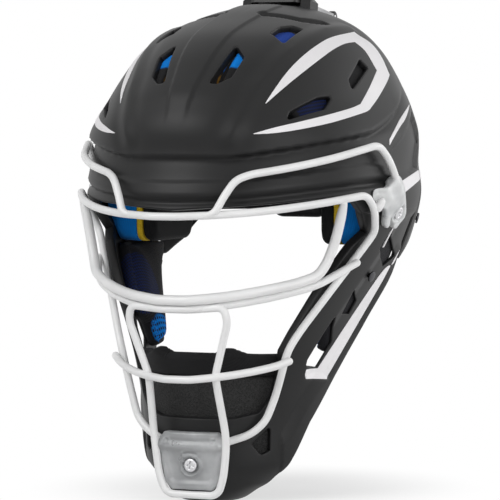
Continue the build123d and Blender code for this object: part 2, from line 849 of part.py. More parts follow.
# Ear pads in three layers: foam on the shell, a thin band and the liner at the ear
ear_pad_shares = [
    (-0.057, 0.017),
    (0.135, 0.017),
    (0.165, 0.090),
    (0.185, 0.186),
    (-0.057, 0.186),
]
ear_face_share = 0.556
ear_liner_thickness = 10.0
ear_band_thickness = 4.0
ear_corner = 8.0
ear_face = ear_face_share * shell_half_width
with BuildPart() as strap_slot:
    with BuildSketch(side_view):
        Polygon(*side_points(strap_shares), align=None)
        offset(amount=soft_gap)
    extrude(amount=shell_half_width + overrun)
    add(strap_room_form, mode=Mode.SUBTRACT)


def ear_layer(start, length, edge):
    with BuildPart() as layer:
        with BuildSketch(side_view.offset(start)) as ear_outline:
            Polygon(*side_points(ear_pad_shares), align=None)
            fillet(ear_outline.vertices(), ear_corner)
        extrude(amount=length)
        if edge > 0:
            fillet(layer.faces().sort_by(Axis.X)[0].edges(), edge)
    return layer.part


ear_liner = ear_layer(ear_face, ear_liner_thickness, ear_liner_thickness / 3)
ear_band = ear_layer(ear_face + ear_liner_thickness, ear_band_thickness, 0)
with BuildPart() as ear_foam:
    add(ear_layer(ear_face + ear_liner_thickness + ear_band_thickness, shell_half_width, 0))
    add(liner_form, mode=Mode.INTERSECT)
    add(strap_slot.part, mode=Mode.SUBTRACT)
    with BuildSketch(temple_views[0].offset(-pad_depth)):
        Circle(nut_radius + soft_gap)
    extrude(amount=overrun, mode=Mode.SUBTRACT)
for name, form in (("ear_liner", ear_liner), ("ear_band", ear_band), ("ear_foam", ear_foam.part)):
    for side, flip in sides:
        with BuildPart() as layer:
            add(form if flip > 0 else form.mirror(Plane.YZ))
        layer.part.label = name + "_" + side
        export_step(layer.part, "parts/" + name + "_" + side + ".step")

# Chin pad on the coarse chin foam, both bent round the chin
chin_pad_shares = [(-0.400, -0.193), (-0.110, -0.193), (-0.125, -0.244), (-0.400, -0.244)]
chin_foam_shares = [
    (-0.400, -0.246),
    (-0.130, -0.246),
    (-0.160, -0.339),
    (-0.200, -0.390),
    (-0.400, -0.390),
]
chin_side_view = side_view.offset(-shell_half_width)
for name, outline_shares in (("chin_pad", chin_pad_shares), ("chin_foam", chin_foam_shares)):
    with BuildPart() as chin_piece:
        add(cushion(chin_side_view, side_points(outline_shares), 2 * shell_half_width, []))
    chin_piece.part.label = name
    export_step(chin_piece.part, "parts/" + name + ".step")
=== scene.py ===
# Catcher helmet with a wire face cage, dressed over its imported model
import json
import math

import bmesh
import bpy
import mathutils
import numpy as np
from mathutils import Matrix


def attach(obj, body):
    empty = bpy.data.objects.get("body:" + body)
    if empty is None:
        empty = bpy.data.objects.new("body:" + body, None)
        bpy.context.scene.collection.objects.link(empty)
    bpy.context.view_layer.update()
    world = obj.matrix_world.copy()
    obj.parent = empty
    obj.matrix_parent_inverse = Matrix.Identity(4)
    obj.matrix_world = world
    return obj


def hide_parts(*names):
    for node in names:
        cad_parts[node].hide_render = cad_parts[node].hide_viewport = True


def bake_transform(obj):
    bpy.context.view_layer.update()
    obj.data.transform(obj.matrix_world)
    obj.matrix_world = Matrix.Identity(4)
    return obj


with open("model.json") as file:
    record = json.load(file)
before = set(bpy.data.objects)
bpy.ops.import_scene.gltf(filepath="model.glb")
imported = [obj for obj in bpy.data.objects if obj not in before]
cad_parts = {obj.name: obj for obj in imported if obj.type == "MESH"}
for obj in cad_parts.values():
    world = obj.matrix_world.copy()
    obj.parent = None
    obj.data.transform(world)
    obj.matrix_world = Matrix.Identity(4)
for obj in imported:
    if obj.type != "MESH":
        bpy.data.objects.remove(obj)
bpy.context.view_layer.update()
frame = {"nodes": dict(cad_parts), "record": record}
print("stage: frame loaded")

# Places are worked out in millimetres, as shares of half width, length and height from the ear line
helmet = {"halfWidth": 108.0, "length": 264.0, "height": 321.6, "wall": 3.6,
          "datum": (0, -5.755, 160.03)}
datum = np.array(helmet["datum"])
extent = np.array([helmet["halfWidth"], helmet["length"], helmet["height"]])
# the three-quarter view: what a step along x, y and z adds to across and to up
threeQuarter = np.array([(0.905, 0.422, 0), (-0.022, 0.0474, 0.9986)])
sides = (("left", "Left", False), ("right", "Right", True))
mirror = np.array([-1, 1, 1])


def place(shares):
    # scales share triples into millimetres about the datum
    return np.atleast_2d(np.array(shares, float)) * extent + datum


def local(points):
    # the same points seen from the datum
    return points - datum


def rightToLeft(points):
    # folds the wearer's right half onto the left one
    return np.concatenate([np.abs(points[..., :1]), points[..., 1:]], -1)


def seen(points):
    # flat coordinates in the three-quarter view
    return rightToLeft(local(points)) @ threeQuarter.T


# Small numeric helpers


def ramp(x, low, high):
    # smooth step: 0 below low, 1 above high, 3t squared minus 2t cubed between
    t = np.clip((x - low) / (high - low), 0, 1)
    return t * t * (3 - 2 * t)


def bell(x, centre, width):
    # bell curve of height 1
    return np.exp(-(((x - centre) / width) ** 2))


def camel(node):
    # the name of a piece from the name of its node
    first, *rest = node.split("_")
    return first + "".join(word.capitalize() for word in rest)


def unit(v):
    # the same direction with length 1
    return v / np.maximum(np.linalg.norm(v, axis=-1, keepdims=True), 1e-12)


def walked(line):
    # distance travelled at each point of a line
    return np.concatenate([[0], np.cumsum(np.linalg.norm(np.diff(line, axis=0), axis=1))])


def sampled(line, along, at, period=None):
    # the points of a line at given distances
    columns = range(line.shape[1])
    return np.stack([np.interp(at, along, line[:, c], period=period) for c in columns], 1)


def hermite(a, b, leave, arrive, t):
    # cubic from a to b with given slopes, weighed by four polynomials of the share t
    return (a * (2 * t ** 3 - 3 * t ** 2 + 1) + leave * (t ** 3 - 2 * t ** 2 + t)
            + b * (3 * t ** 2 - 2 * t ** 3) + arrive * (t ** 3 - t ** 2))


def softened(loop, radius, steps=6):
    # closed outline with each corner swapped for an arc tangent to both sides
    loop = np.array(loop, float)
    before, after = np.roll(loop, 1, axis=0), np.roll(loop, -1, axis=0)
    a, b = unit(before - loop), unit(after - loop)
    half = np.arccos(np.clip((a * b).sum(1), -1, 1)) / 2
    reach = np.minimum(radius / np.tan(half), 0.45 * np.minimum(
        np.linalg.norm(before - loop, axis=1), np.linalg.norm(after - loop, axis=1)))
    t = np.linspace(0, 1, steps)[None, :, None]
    p0 = (loop + a * reach[:, None])[:, None]
    p2 = (loop + b * reach[:, None])[:, None]
    arcs = (1 - t) ** 2 * p0 + 2 * t * (1 - t) * loop[:, None] + t ** 2 * p2
    return arcs.reshape(-1, loop.shape[1])


def flowing(loop, corners, steps=5):
    # closed outline through the points: cubics with tangents along the neighbours' chord,
    # and straight departures at the numbered corners
    loop = np.array(loop, float)
    sharp = np.isin(np.arange(len(loop)), corners)[:, None]
    after = np.roll(loop, -1, axis=0)
    chord = (after - np.roll(loop, 1, axis=0)) / 2
    leave = np.where(sharp, after - loop, chord)[:, None]
    arrive = np.where(np.roll(sharp, -1, axis=0), after - loop, np.roll(chord, -1, axis=0))[:, None]
    t = (np.arange(steps) / steps)[None, :, None]
    return hermite(loop[:, None], after[:, None], leave, arrive, t).reshape(-1, 2)


def lineDistance(points, line):
    # distance to an open line of points: the least of the distances to its straight runs
    line = np.array(line, float)
    best = np.full(points.shape[:-1], 1e9)
    for p0, p1 in zip(line, line[1:]):
        edge, rel = p1 - p0, points - p0
        t = np.clip((rel @ edge) / max(edge @ edge, 1e-12), 0, 1)
        best = np.minimum(best, np.linalg.norm(rel - t[..., None] * edge, axis=-1))
    return best


def outlineDistance(q, loop):
    # signed distance in the plane to a closed outline, positive inside
    inside = np.zeros(q.shape[:-1], bool)
    for p0, p1 in zip(loop, np.roll(loop, -1, axis=0)):
        edge = p1 - p0
        if abs(edge[1]) > 1e-9:
            spans = (p0[1] > q[..., 1]) != (p1[1] > q[..., 1])
            inside ^= spans & (q[..., 0] < p0[0] + (q[..., 1] - p0[1]) * edge[0] / edge[1])
    best = lineDistance(q, np.vstack([loop, loop[:1]]))
    return np.where(inside, best, -best)


# The moulded form: ovals of level, half width, middle, front reach and rear reach
jawSectionShares = [
    (-0.4976, 0, -0.22, 0, 0),
    (-0.4976, 0.09, -0.22, 0.041, 0.029),
    (-0.497, 0.16, -0.22, 0.073, 0.051),
    (-0.485, 0.278, -0.197, 0.117, 0.083),
    (-0.46, 0.417, -0.152, 0.174, 0.129),
    (-0.41, 0.519, -0.114, 0.216, 0.227),
    (-0.339, 0.56, -0.076, 0.258, 0.318),
    (-0.249, 0.62, -0.03, 0.326, 0.394),
    (-0.149, 0.704, 0.023, 0.432, 0.455),
    (-0.047, 0.824, 0.038, 0.485, 0.492),
    (0.031, 0.907, 0.038, 0.492, 0.508),
    (0.124, 0.991, 0.023, 0.473, 0.523),
    (0.18, 0.966, 0.023, 0.455, 0.522),
]
domeSectionShares = [
    (0.218, 0.968, 0.03, 0.46, 0.517),
    (0.236, 0.968, 0.03, 0.463, 0.515),
    (0.274, 0.926, 0.042, 0.469, 0.504),
    (0.314, 0.866, 0.061, 0.463, 0.477),
    (0.367, 0.787, 0.072, 0.42, 0.424),
    (0.407, 0.713, 0.08, 0.375, 0.379),
    (0.445, 0.616, 0.095, 0.311, 0.288),
    (0.473, 0.463, 0.121, 0.227, 0.22),
    (0.491, 0.296, 0.14, 0.144, 0.136),
    (0.4995, 0.12, 0.148, 0.057, 0.053),
    (0.5006, 0, 0.148, 0, 0),
]
profile = {"length": 560.0, "girth": 740.0, "samples": 2400, "blur": 22, "reach": 60, "hold": 30}


def formTable():
    # section sizes along the profile, eased through the rows by monotone cubics, then blurred
    rows = np.array(jawSectionShares + domeSectionShares)
    rows = rows * extent[[2, 0, 1, 1, 1]] + np.array([datum[2], 0, datum[1], 0, 0])
    along = walked(rows[:, [0, 1, 3]])
    gaps = np.diff(along)
    slope = np.diff(rows, axis=0) / gaps[:, None]
    product = slope[:-1] * slope[1:]
    inner = np.where(product > 0, 2 * product / (slope[:-1] + slope[1:] + 1e-30), 0)
    ends = np.vstack([slope[:1], inner, slope[-1:]])
    fine = np.linspace(0, along[-1], profile["samples"])
    k = np.clip(np.searchsorted(along, fine) - 1, 0, len(gaps) - 1)
    h, t = gaps[k][:, None], ((fine - along[k]) / gaps[k])[:, None]
    table = hermite(rows[k], rows[k + 1], ends[k] * h, ends[k + 1] * h, t)
    reach = profile["reach"]
    kernel = bell(np.arange(-reach, reach + 1), 0, profile["blur"])
    kernel /= kernel.sum()
    padded = np.vstack([2 * table[0] - table[reach:0:-1], table,
                        2 * table[-1] - table[-2:-reach - 2:-1]])
    blurred = np.stack([np.convolve(padded[:, c], kernel, "valid") for c in range(5)], 1)
    hold = 1 - ramp(fine, 0, profile["hold"]) + ramp(fine, along[-1] - profile["hold"], along[-1])
    return fine / along[-1], table * hold[:, None] + blurred * (1 - hold[:, None])


formSteps, formSizes = formTable()


def formPoint(t, angle):
    # x is half width times cos; y is the middle plus the front or rear reach times sin
    z, a, mid, front, rear = [np.interp(t, formSteps, formSizes[:, c]) for c in range(5)]
    reach = np.where(np.sin(angle) < 0, front, rear)
    return np.stack([a * np.cos(angle), mid + reach * np.sin(angle), z], -1)


def stepAtLevel(levelShare):
    # how far along the profile a level lies
    z = levelShare * helmet["height"] + datum[2]
    return float(np.interp(z, np.maximum.accumulate(formSizes[:, 0]), formSteps))


def steps(low, high):
    # the stretch of the profile between two levels
    return stepAtLevel(low), stepAtLevel(high)


def formGrid(tRange, angleRange, spacing):
    # a grid of points and outward normals over a patch of the form, or all round it
    rows = max(int((tRange[1] - tRange[0]) * profile["length"] / spacing), 4)
    t = np.linspace(tRange[0], tRange[1], rows + 1)
    if angleRange is None:
        columns = int(profile["girth"] / spacing)
        angle = np.arange(columns) / columns * 2 * math.pi
    else:
        turns = (angleRange[1] - angleRange[0]) / (2 * math.pi)
        columns = max(int(turns * profile["girth"] / spacing), 4)
        angle = np.linspace(angleRange[0], angleRange[1], columns + 1)
    tt, aa = np.meshgrid(t, angle, indexing="ij")
    step, turn, held = 2e-3, 0.01, np.clip(tt, 1e-3, 0.999)
    along = (formPoint(np.clip(tt + step, 0, 1 - 1e-4), aa)
             - formPoint(np.clip(tt - step, 1e-4, 1), aa))
    around = formPoint(held, aa + turn) - formPoint(held, aa - turn)
    return formPoint(tt, aa), unit(np.cross(around, along))


# Turning arrays into meshes


def addMesh(name, verts, faceSets, scale=0.001):
    # one object from a vertex array in millimetres and a list of triangle and quad arrays
    mesh = bpy.data.meshes.new(name)
    counts = [np.full(len(f), f.shape[1]) for f in faceSets if len(f)]
    loops = np.concatenate([np.asarray(f).ravel() for f in faceSets if len(f)]).astype(np.int32)
    sizes = np.concatenate(counts).astype(np.int32)
    mesh.vertices.add(len(verts))
    mesh.vertices.foreach_set("co", (np.asarray(verts) * scale).astype(np.float32).ravel())
    mesh.loops.add(len(loops))
    mesh.loops.foreach_set("vertex_index", loops)
    mesh.polygons.add(len(sizes))
    starts = np.concatenate([[0], np.cumsum(sizes)[:-1]]).astype(np.int32)
    mesh.polygons.foreach_set("loop_start", starts)
    mesh.polygons.foreach_set("loop_total", sizes)
    mesh.polygons.foreach_set("use_smooth", np.ones(len(sizes), bool))
    mesh.update(calc_edges=True)
    mesh.validate()
    piece = bpy.data.objects.new(name, mesh)
    bpy.context.scene.collection.objects.link(piece)
    return piece


def mirrorFaces(faceSets):
    # the same faces seen from the other side
    return [f[:, ::-1] for f in faceSets]


def gridFaces(rows, columns, whole):
    # quads of a grid of points, joined round where the grid closes
    r = np.arange(rows - 1)[:, None] * columns
    c = np.arange(columns if whole else columns - 1)[None, :]
    n = (c + 1) % columns
    return np.stack([r + c, r + n, r + columns + n, r + columns + c], -1).reshape(-1, 4)


def oddFirst(group, flags, wanted):
    # rolls each triangle so that its odd corner comes first
    k = np.argmax(flags == wanted, axis=1)
    return np.take_along_axis(group, (k[:, None] + np.arange(3)) % 3, 1)


def cutShares(keep, start, end, fi, fj):
    # where keep turns zero between two rows of points: false position, three times over
    lowT, highT = np.zeros(len(fi)), np.ones(len(fi))
    w = fi / (fi - fj)
    for _ in range(3):
        f = keep(start * (1 - w[:, None]) + end * w[:, None])
        within = f > 0
        lowT, fi = np.where(within, w, lowT), np.where(within, f, fi)
        highT, fj = np.where(within, highT, w), np.where(within, fj, f)
        w = lowT + (highT - lowT) * np.clip(fi / np.maximum(fi - fj, 1e-9), 0.02, 0.98)
    return w[:, None]


def edgeRings(upper, lower, away, edge, square, rings):
    # a rounded strip between two lines: an oval of half the wall by edge, squared by a power
    middle, half = (upper + lower) / 2, (upper - lower) / 2
    phi = np.linspace(0, math.pi, rings + 2)[1:-1]
    return [middle + half * np.sign(np.cos(p)) * abs(np.cos(p)) ** square
            + away * edge * abs(np.sin(p)) ** square for p in phi]


def compact(verts, faceSets):
    # leaves out the vertices that no face uses
    faceSets = [f for f in faceSets if len(f)]
    used = np.unique(np.concatenate([f.ravel() for f in faceSets]))
    lookup = np.full(len(verts), -1)
    lookup[used] = np.arange(len(used))
    return verts[used], [lookup[f] for f in faceSets]


def trimmedShell(name, tRange, angleRange, spacing, keep, outer, inner, edge=0.9, square=0.6,
                 rings=6, flip=False):
    # A wall between two offsets of the form, cut along the line where keep is zero.
    # keep(P) is the distance inside the outline; outer and inner give the offsets along the normal.
    base, normal = formGrid(tRange, angleRange, spacing)
    whole = angleRange is None
    rows, columns = base.shape[:2]
    inside = keep(base) - edge
    top = base + normal * outer(base, inside)[..., None]
    low = base + normal * inner(base, inside)[..., None]
    flat = inside.ravel()
    quads = gridFaces(rows, columns, whole)
    state = (flat[quads] > 0).sum(1)
    fullQuads = quads[state == 4]
    mixed = quads[(state > 0) & (state < 4)]
    tris = np.vstack([mixed[:, [0, 1, 2]], mixed[:, [0, 2, 3]]])
    hits = flat[tris] > 0
    count = hits.sum(1)
    fullTris = tris[count == 3]
    one = oddFirst(tris[count == 1], hits[count == 1], True)
    two = oddFirst(tris[count == 2], hits[count == 2], False)
    # cut edges: from the corner inside to the corner outside
    cuts = np.vstack([one[:, [0, 1]], one[:, [0, 2]], two[:, [1, 0]], two[:, [2, 0]]])
    keys = np.sort(cuts, axis=1)
    codes = keys[:, 0].astype(np.int64) * len(flat) + keys[:, 1]
    _, first, back = np.unique(codes, return_index=True, return_inverse=True)
    i, j = cuts[first, 0], cuts[first, 1]
    points = base.reshape(-1, 3)
    w = cutShares(lambda p: keep(p) - edge, points[i], points[j], flat[i], flat[j])

    def withCuts(surface):
        # the grid's rows with the cut points added, each at its share of the edge
        s = surface.reshape(-1, 3)
        return np.vstack([s, s[i] * (1 - w) + s[j] * w])

    topAll, lowAll = withCuts(top), withCuts(low)
    normalAll = unit(withCuts(normal))
    new = len(flat) + np.asarray(back).ravel()
    n1, n2 = len(one), len(two)
    a, b = new[:n1], new[n1:2 * n1]
    c, d = new[2 * n1:2 * n1 + n2], new[2 * n1 + n2:]
    cutTris = np.stack([one[:, 0], a, b], 1)
    cutQuads = np.stack([two[:, 1], two[:, 2], d, c], 1)
    segments = np.vstack([np.stack([a, b], 1), np.stack([d, c], 1)])
    faceSets = [fullQuads, cutQuads, fullTris, cutTris]
    total = len(topAll)
    # the cut edge, ring by ring from the outer line to the inner line
    away = np.zeros((total, 3))
    step = np.cross(topAll[segments[:, 1]] - topAll[segments[:, 0]], normalAll[segments[:, 0]])
    np.add.at(away, segments[:, 0], step)
    np.add.at(away, segments[:, 1], step)
    line = np.arange(len(flat), total)
    away = unit(away[line])
    upper, lower = topAll[line], lowAll[line]
    ringPoints = edgeRings(upper, lower, away, edge, square, rings)
    verts = np.vstack([topAll, lowAll] + ringPoints)
    index = [segments] + [segments - len(flat) + 2 * total + k * len(line) for k in range(rings)]
    index.append(segments + total)
    strips = [np.stack([u[:, 1], u[:, 0], v[:, 0], v[:, 1]], 1) for u, v in zip(index, index[1:])]
    sets = faceSets + [f[:, ::-1] + total for f in faceSets] + strips
    verts, sets = compact(verts, sets)
    if flip:
        verts, sets = verts * mirror, mirrorFaces(sets)
    piece = addMesh(name, verts, sets)
    return mergeDoubles(piece) if whole else piece


def reworked(piece, work):
    # hands the mesh to a function of bmesh and takes it back
    bm = bmesh.new()
    bm.from_mesh(piece.data)
    work(bm)
    bm.to_mesh(piece.data)
    bm.free()
    return piece


def mergeDoubles(piece, distance=1e-6):
    # joins points that coincide
    def work(bm):
        bmesh.ops.remove_doubles(bm, verts=bm.verts, dist=distance)
        bmesh.ops.dissolve_degenerate(bm, edges=bm.edges, dist=distance / 10)
    return reworked(piece, work)


# Outlines of the moulding, as in the frame: side view is (y, z), front view is (x, z)
portHalf = [
    (0, 0.096), (0.556, 0.108), (0.815, 0.118), (0.889, 0.112), (0.898, 0.087), (0.88, 0.044),
    (0.829, 0.019), (0.551, -0.155), (0.495, -0.193), (0.426, -0.286), (0.37, -0.314),
    (0.241, -0.325),
]
shellSideShares = [
    (-0.8, -0.52), (-0.195, -0.52), (-0.205, -0.45), (-0.185, -0.41), (-0.14, -0.339),
    (-0.061, -0.249), (0.037, -0.149), (0.127, -0.047), (0.17, 0.018), (0.176, 0.034),
    (0.22, 0.14), (0.25, 0.264), (0.288, 0.389), (0.333, 0.529), (-0.8, 0.529),
]
plateSideShares = [
    (0.16, -0.03), (0.193, 0.031), (0.239, 0.14), (0.269, 0.264), (0.307, 0.389),
    (0.33, 0.435), (0.6, 0.435), (0.6, 0.068), (0.379, 0.068), (0.326, 0.044),
    (0.262, 0.006),
]
jawSlotShares = [
    [(0.023, 0.044), (-0.011, 0.009), (0.068, -0.034), (0.129, -0.012)],
    [(-0.069, -0.072), (-0.076, -0.124), (-0.036, -0.127), (-0.023, -0.1)],
    [(-0.109, -0.124), (-0.134, -0.157), (-0.175, -0.215), (-0.173, -0.224),
     (-0.128, -0.23), (-0.084, -0.182)],
]
chinVentShares = [(-0.249, -0.34), (-0.249, -0.392), (-0.266, -0.4), (-0.282, -0.377)]
crownVents = [
    {"centre": (0.218, -0.317, 0.376), "along": (0.159, 0.727, 0.668),
     "normal": (0.264, -0.683, 0.681), "length": 39.0, "width": 11.0,
     "shape": [(-0.41, 0.48), (-0.37, 0), (-0.15, -0.51), (0.36, -0.45), (0.58, 0.48)]},
    {"centre": (0.381, -0.13, 0.448), "along": (0.048, 0.949, 0.311),
     "normal": (0.348, -0.307, 0.886), "length": 31.0, "width": 12.5,
     "shape": [(-0.27, 0.45), (0.19, 0.48), (0.46, 0.1), (0.52, -0.48), (-0.43, -0.52)]},
    {"centre": (0.76, -0.035, 0.364), "along": (0.087, -0.89, -0.448),
     "normal": (0.848, -0.17, 0.503), "length": 34.0, "width": 8.0,
     "shape": [(-0.46, -0.47), (0.39, -0.36), (0.55, 0.31), (-0.47, 0.52)]},
    {"centre": (0.674, -0.243, 0.299), "along": (0.366, 0.884, 0.289),
     "normal": (0.716, -0.466, 0.52), "length": 43.0, "width": 9.0,
     "shape": [(-0.51, -0.17), (-0.39, 0.26), (0.2, 0.39), (0.5, 0.11), (0.2, -0.58)]},
]
moulding = {"portCorner": 5.0, "slotCorner": 1.6, "ventCorner": 1.8, "edge": 1.0, "seam": 0.085,
            "far": 12.0, "portFar": 30.0, "ventReach": (40, 20),
            "lip": 3.2, "lipPlace": (0, 5.0), "ventLip": 4.6, "ventWall": (4.5, 1.5)}


def loopMaker(axes):
    # outlines from shares in one flat view, with their corners softened
    return lambda shares, corner: softened(np.array(shares) * extent[axes] + datum[axes], corner)


sideLoop, frontLoop, topLoop = [loopMaker(axes) for axes in ([1, 2], [0, 2], [0, 1])]


def mirrored(half):
    # a symmetric outline from its left half; points on the axis are used once
    return half + [(-x, z) for x, z in reversed(half) if x]


def planeOf(spec):
    # a plane in space: its centre and three axes, the last one its normal
    z = unit(np.array(spec["normal"]))
    x = np.array(spec["along"])
    x = unit(x - z * (x @ z))
    return place(spec["centre"])[0], x, np.cross(z, x), z


portLoop = frontLoop(mirrored(portHalf), moulding["portCorner"])
shellLoop = sideLoop(shellSideShares, 3)
slotLoops = [sideLoop(s, moulding["slotCorner"]) for s in jawSlotShares]
chinVentLoop = sideLoop(chinVentShares, moulding["slotCorner"])
ventPlanes = [planeOf(v) for v in crownVents]
ventLoops = [softened(np.array(v["shape"]) * [v["length"], v["width"]], moulding["ventCorner"])
             for v in crownVents]


def inSide(loop):
    # the distance inside an outline of the side view, as a function of points
    return lambda points: outlineDistance(points[..., [1, 2]], loop)


def near(flatPoints, loop, margin):
    # mask of the flat points that lie close to an outline
    return ((flatPoints > loop.min(0) - margin) & (flatPoints < loop.max(0) + margin)).all(-1)


def cutDistance(points, loop, axes, extra=True, far=moulding["far"]):
    # distance outside an opening, capped far from it
    q = points[..., axes]
    mask = near(q, loop, far) & extra
    out = np.full(mask.shape, far)
    out[mask] = np.minimum(-outlineDistance(q[mask], loop), far)
    return out


def portDistance(points):
    # distance outside the face port
    return cutDistance(points, portLoop, [0, 2], points[..., 1] < datum[1], moulding["portFar"])


def slotDistance(points):
    # distance outside the nearest slot of the jaw or the chin
    return np.minimum.reduce([cutDistance(points, loop, [1, 2])
                              for loop in slotLoops + [chinVentLoop]])


def ventDistance(points):
    # distance outside the nearest crown vent
    p = rightToLeft(points)
    out = np.full(p.shape[:-1], moulding["far"])
    across, deep = moulding["ventReach"]
    for (centre, x, y, z), loop in zip(ventPlanes, ventLoops):
        rel = p - centre
        flatPoints = np.stack([rel @ x, rel @ y], -1)
        mask = (np.abs(rel @ z) < deep) & (np.abs(flatPoints) < across).all(-1)
        out[mask] = np.minimum(out[mask], -outlineDistance(flatPoints[mask], loop))
    return out


def shellKeep(points):
    # inside the shell's outline and outside all its openings
    return np.minimum.reduce([inSide(shellLoop)(points), portDistance(points),
                              slotDistance(points), ventDistance(points)])


# Moulded relief of the shell: overhang, brow steps, crown creases, sunk panels, flared jaw rim
overhang = {"along": [-125, -106, -94, -69, -27, 16, 60], "level": [65, 65, 68, 73, 79, 92, 108],
            "lip": 2.2, "lipFade": 15, "undercut": 3.8, "undercutFade": 7, "soft": 0.9,
            "end": (20, 60)}
brow = {"drop": 8, "span": 90, "crease": 2.6, "creasePlace": (36.0, 2.0), "step": 1.1,
        "stepStart": (38, 41), "stepEnd": (49.4, 48.4), "floor": 20, "end": (-10, 10)}
crownBand = {"level": [80, 95, 112, 130, 147, 156.5], "half": [6.5, 7, 9, 11.5, 13.5, 15],
             "step": 1.2, "wall": (0.8, -0.8), "start": (82, 108), "end": 20}
crownCreases = {
    "valley": [(15, -10, 156.5), (26, -7, 155.5), (39, -3.5, 152.7), (50, 10, 150.8)],
    "depth": 2.6, "wall": (4.6, 2.2),
    "side": [(36, -108, 76), (38, -105, 82), (45.5, -81, 112), (52, -48, 133), (56, -1, 146),
             (58, 30, 146)],
    "rise": 1.1, "fade": 4.0, "dip": 0.6, "dipPlace": (9, 5), "floor": 60, "half": 75}
templePanel = {"loop": softened([(-3, 67), (1, 50), (30, 51), (52, 54), (64, 72), (60, 92),
                                 (33, 83)], 3), "depth": 2.4, "wall": (-0.2, 1.6)}
# sunk panel of the jaw and the line where its rim starts to flare, in the three-quarter view
jawPanel = {"loop": np.array([
    (97, 20), (87.4, 1.6), (73.9, -18.1), (56.7, -42.7), (49.2, -53.7), (39, -69.2), (36, -78),
    (35.6, -84.6), (50.1, -84.6), (91.8, -17), (101.6, 0.2), (120, 4), (120, 30)], float),
    "depth": 1.8, "slope": 4.0, "levels": (-158, 30), "end": 75}
jawRim = {"line": np.array([(20, -118), (30, -99), (45, -77.7), (86.3, -18.2), (97.5, -5),
                            (112, 20)]),
          "flare": 2.5, "over": 6.5, "bottom": (-155, -95), "top": (28, 12)}
fullness = {"crown": 2.4, "crownX": (8, 26), "crownY": (28, 42), "crownZ": (120, 150),
            "chin": 3.4, "chinX": (16, 34), "chinZ": (-134, -150)}


def where(mask, elsewhere, measure, points, shape):
    # a measure of the masked points, and one value elsewhere
    out = np.full(mask.shape, float(elsewhere))
    out[mask] = measure(points[mask], shape)
    return out


def relief(points):
    # offset along the normal, in millimetres
    p = local(points)
    x, y, z = np.abs(p[..., 0]), p[..., 1], p[..., 2]
    # overhang line that climbs towards the rear: a lip above it, an undercut below it
    d = z - np.interp(y, overhang["along"], overhang["level"])
    lift = np.where(d > 0, overhang["lip"] * np.exp(-np.abs(d) / overhang["lipFade"]),
                    -overhang["undercut"] * np.exp(-np.abs(d) / overhang["undercutFade"]))
    out = lift * np.clip(np.abs(d) / overhang["soft"], 0, 1) * (1 - ramp(y, *overhang["end"]))
    # a crease and a step follow the rim of the port
    w = z - brow["drop"] * (x / brow["span"]) ** 2
    rise = (brow["step"] * ramp(w, *brow["stepEnd"]) * ramp(w, *brow["stepStart"])
            - brow["crease"] * bell(w, *brow["creasePlace"]))
    out = out + rise * (1 - ramp(y, *brow["end"])) * (z > brow["floor"])
    # raised band over the middle of the crown, with a small step at each side
    edge = x - np.interp(z, crownBand["level"], crownBand["half"])
    out = out + (crownBand["step"] * ramp(edge, *crownBand["wall"])
                 * ramp(z, *crownBand["start"]) * (y < crownBand["end"]))
    # creases over the crown
    mask = (z > crownCreases["floor"]) & (x < crownCreases["half"])
    valley, side = [where(mask, 99, lineDistance, rightToLeft(p), crownCreases[key])
                    for key in ("valley", "side")]
    out = out - crownCreases["depth"] * ramp(valley, *crownCreases["wall"])
    out = out + (crownCreases["rise"] * np.exp(-side / crownCreases["fade"])
                 - crownCreases["dip"] * bell(side, *crownCreases["dipPlace"]))
    # sunk panel behind the temple
    flatPoints, loop = p[..., [1, 2]], templePanel["loop"]
    panel = where(near(flatPoints, loop, 12), -10, outlineDistance, flatPoints, loop)
    out = out - templePanel["depth"] * ramp(panel, *templePanel["wall"])
    # sunk panel of the jaw between its ridge and the white bevel, and the rim beyond it
    flatPoints, (bottom, top) = seen(points), jawPanel["levels"]
    mask = (z < top) & (z > bottom) & (y < jawPanel["end"])
    panel = where(mask, -10, outlineDistance, flatPoints, jawPanel["loop"])
    out = out - jawPanel["depth"] * np.clip(panel / jawPanel["slope"], 0, 1)
    away = where(mask, 0, lineDistance, flatPoints, jawRim["line"])
    beyond = flatPoints[..., 0] > np.interp(flatPoints[..., 1], jawRim["line"][:, 1],
                                            jawRim["line"][:, 0])
    flare = jawRim["flare"] * np.clip(away / jawRim["over"], 0, 1) * beyond
    out = out + flare * ramp(z, *jawRim["bottom"]) * ramp(z, *jawRim["top"])
    # fuller crown round the guide, and a tighter turn under the chin
    out = out + (fullness["crown"] * bell(x, *fullness["crownX"]) * bell(y, *fullness["crownY"])
                 * ramp(z, *fullness["crownZ"]))
    return out - fullness["chin"] * ramp(z, *fullness["chinZ"]) * ramp(x, *fullness["chinX"])


def layer(face, step):
    # a face moved out or in by a step
    return lambda points, inside: face(points) + step


def flatFace(level):
    # an offset that is the same everywhere
    return lambda points, inside: np.full(points.shape[:-1], level)


def shellInner(points, inside):
    # the wall turns in as a deeper lip round the port and the crown vents
    return (-helmet["wall"] - moulding["lip"] * bell(portDistance(points), *moulding["lipPlace"])
            - moulding["ventLip"] * ramp(ventDistance(points), *moulding["ventWall"]))


def sealed(piece):
    # closes the open row of a wall with flat faces
    def work(bm):
        rim = [e for e in bm.edges if e.is_boundary]
        made = bmesh.ops.holes_fill(bm, edges=rim, sides=0)["faces"]
        for face in bmesh.ops.triangulate(bm, faces=made)["faces"]:
            face.smooth = False
    return reworked(piece, work)


# made in two parts, joined at a level behind the temple clips
seamStep = stepAtLevel(moulding["seam"])
domeShell, jawShell = [
    sealed(trimmedShell(name, stretch, None, spacing, shellKeep, layer(relief, 0), shellInner,
                        edge=moulding["edge"]))
    for name, stretch, spacing in (("domeShell", (seamStep, 1), 1.7),
                                   ("jawShell", (0, seamStep), 1.6))]
print("stage: front shell", len(domeShell.data.polygons), len(jawShell.data.polygons))

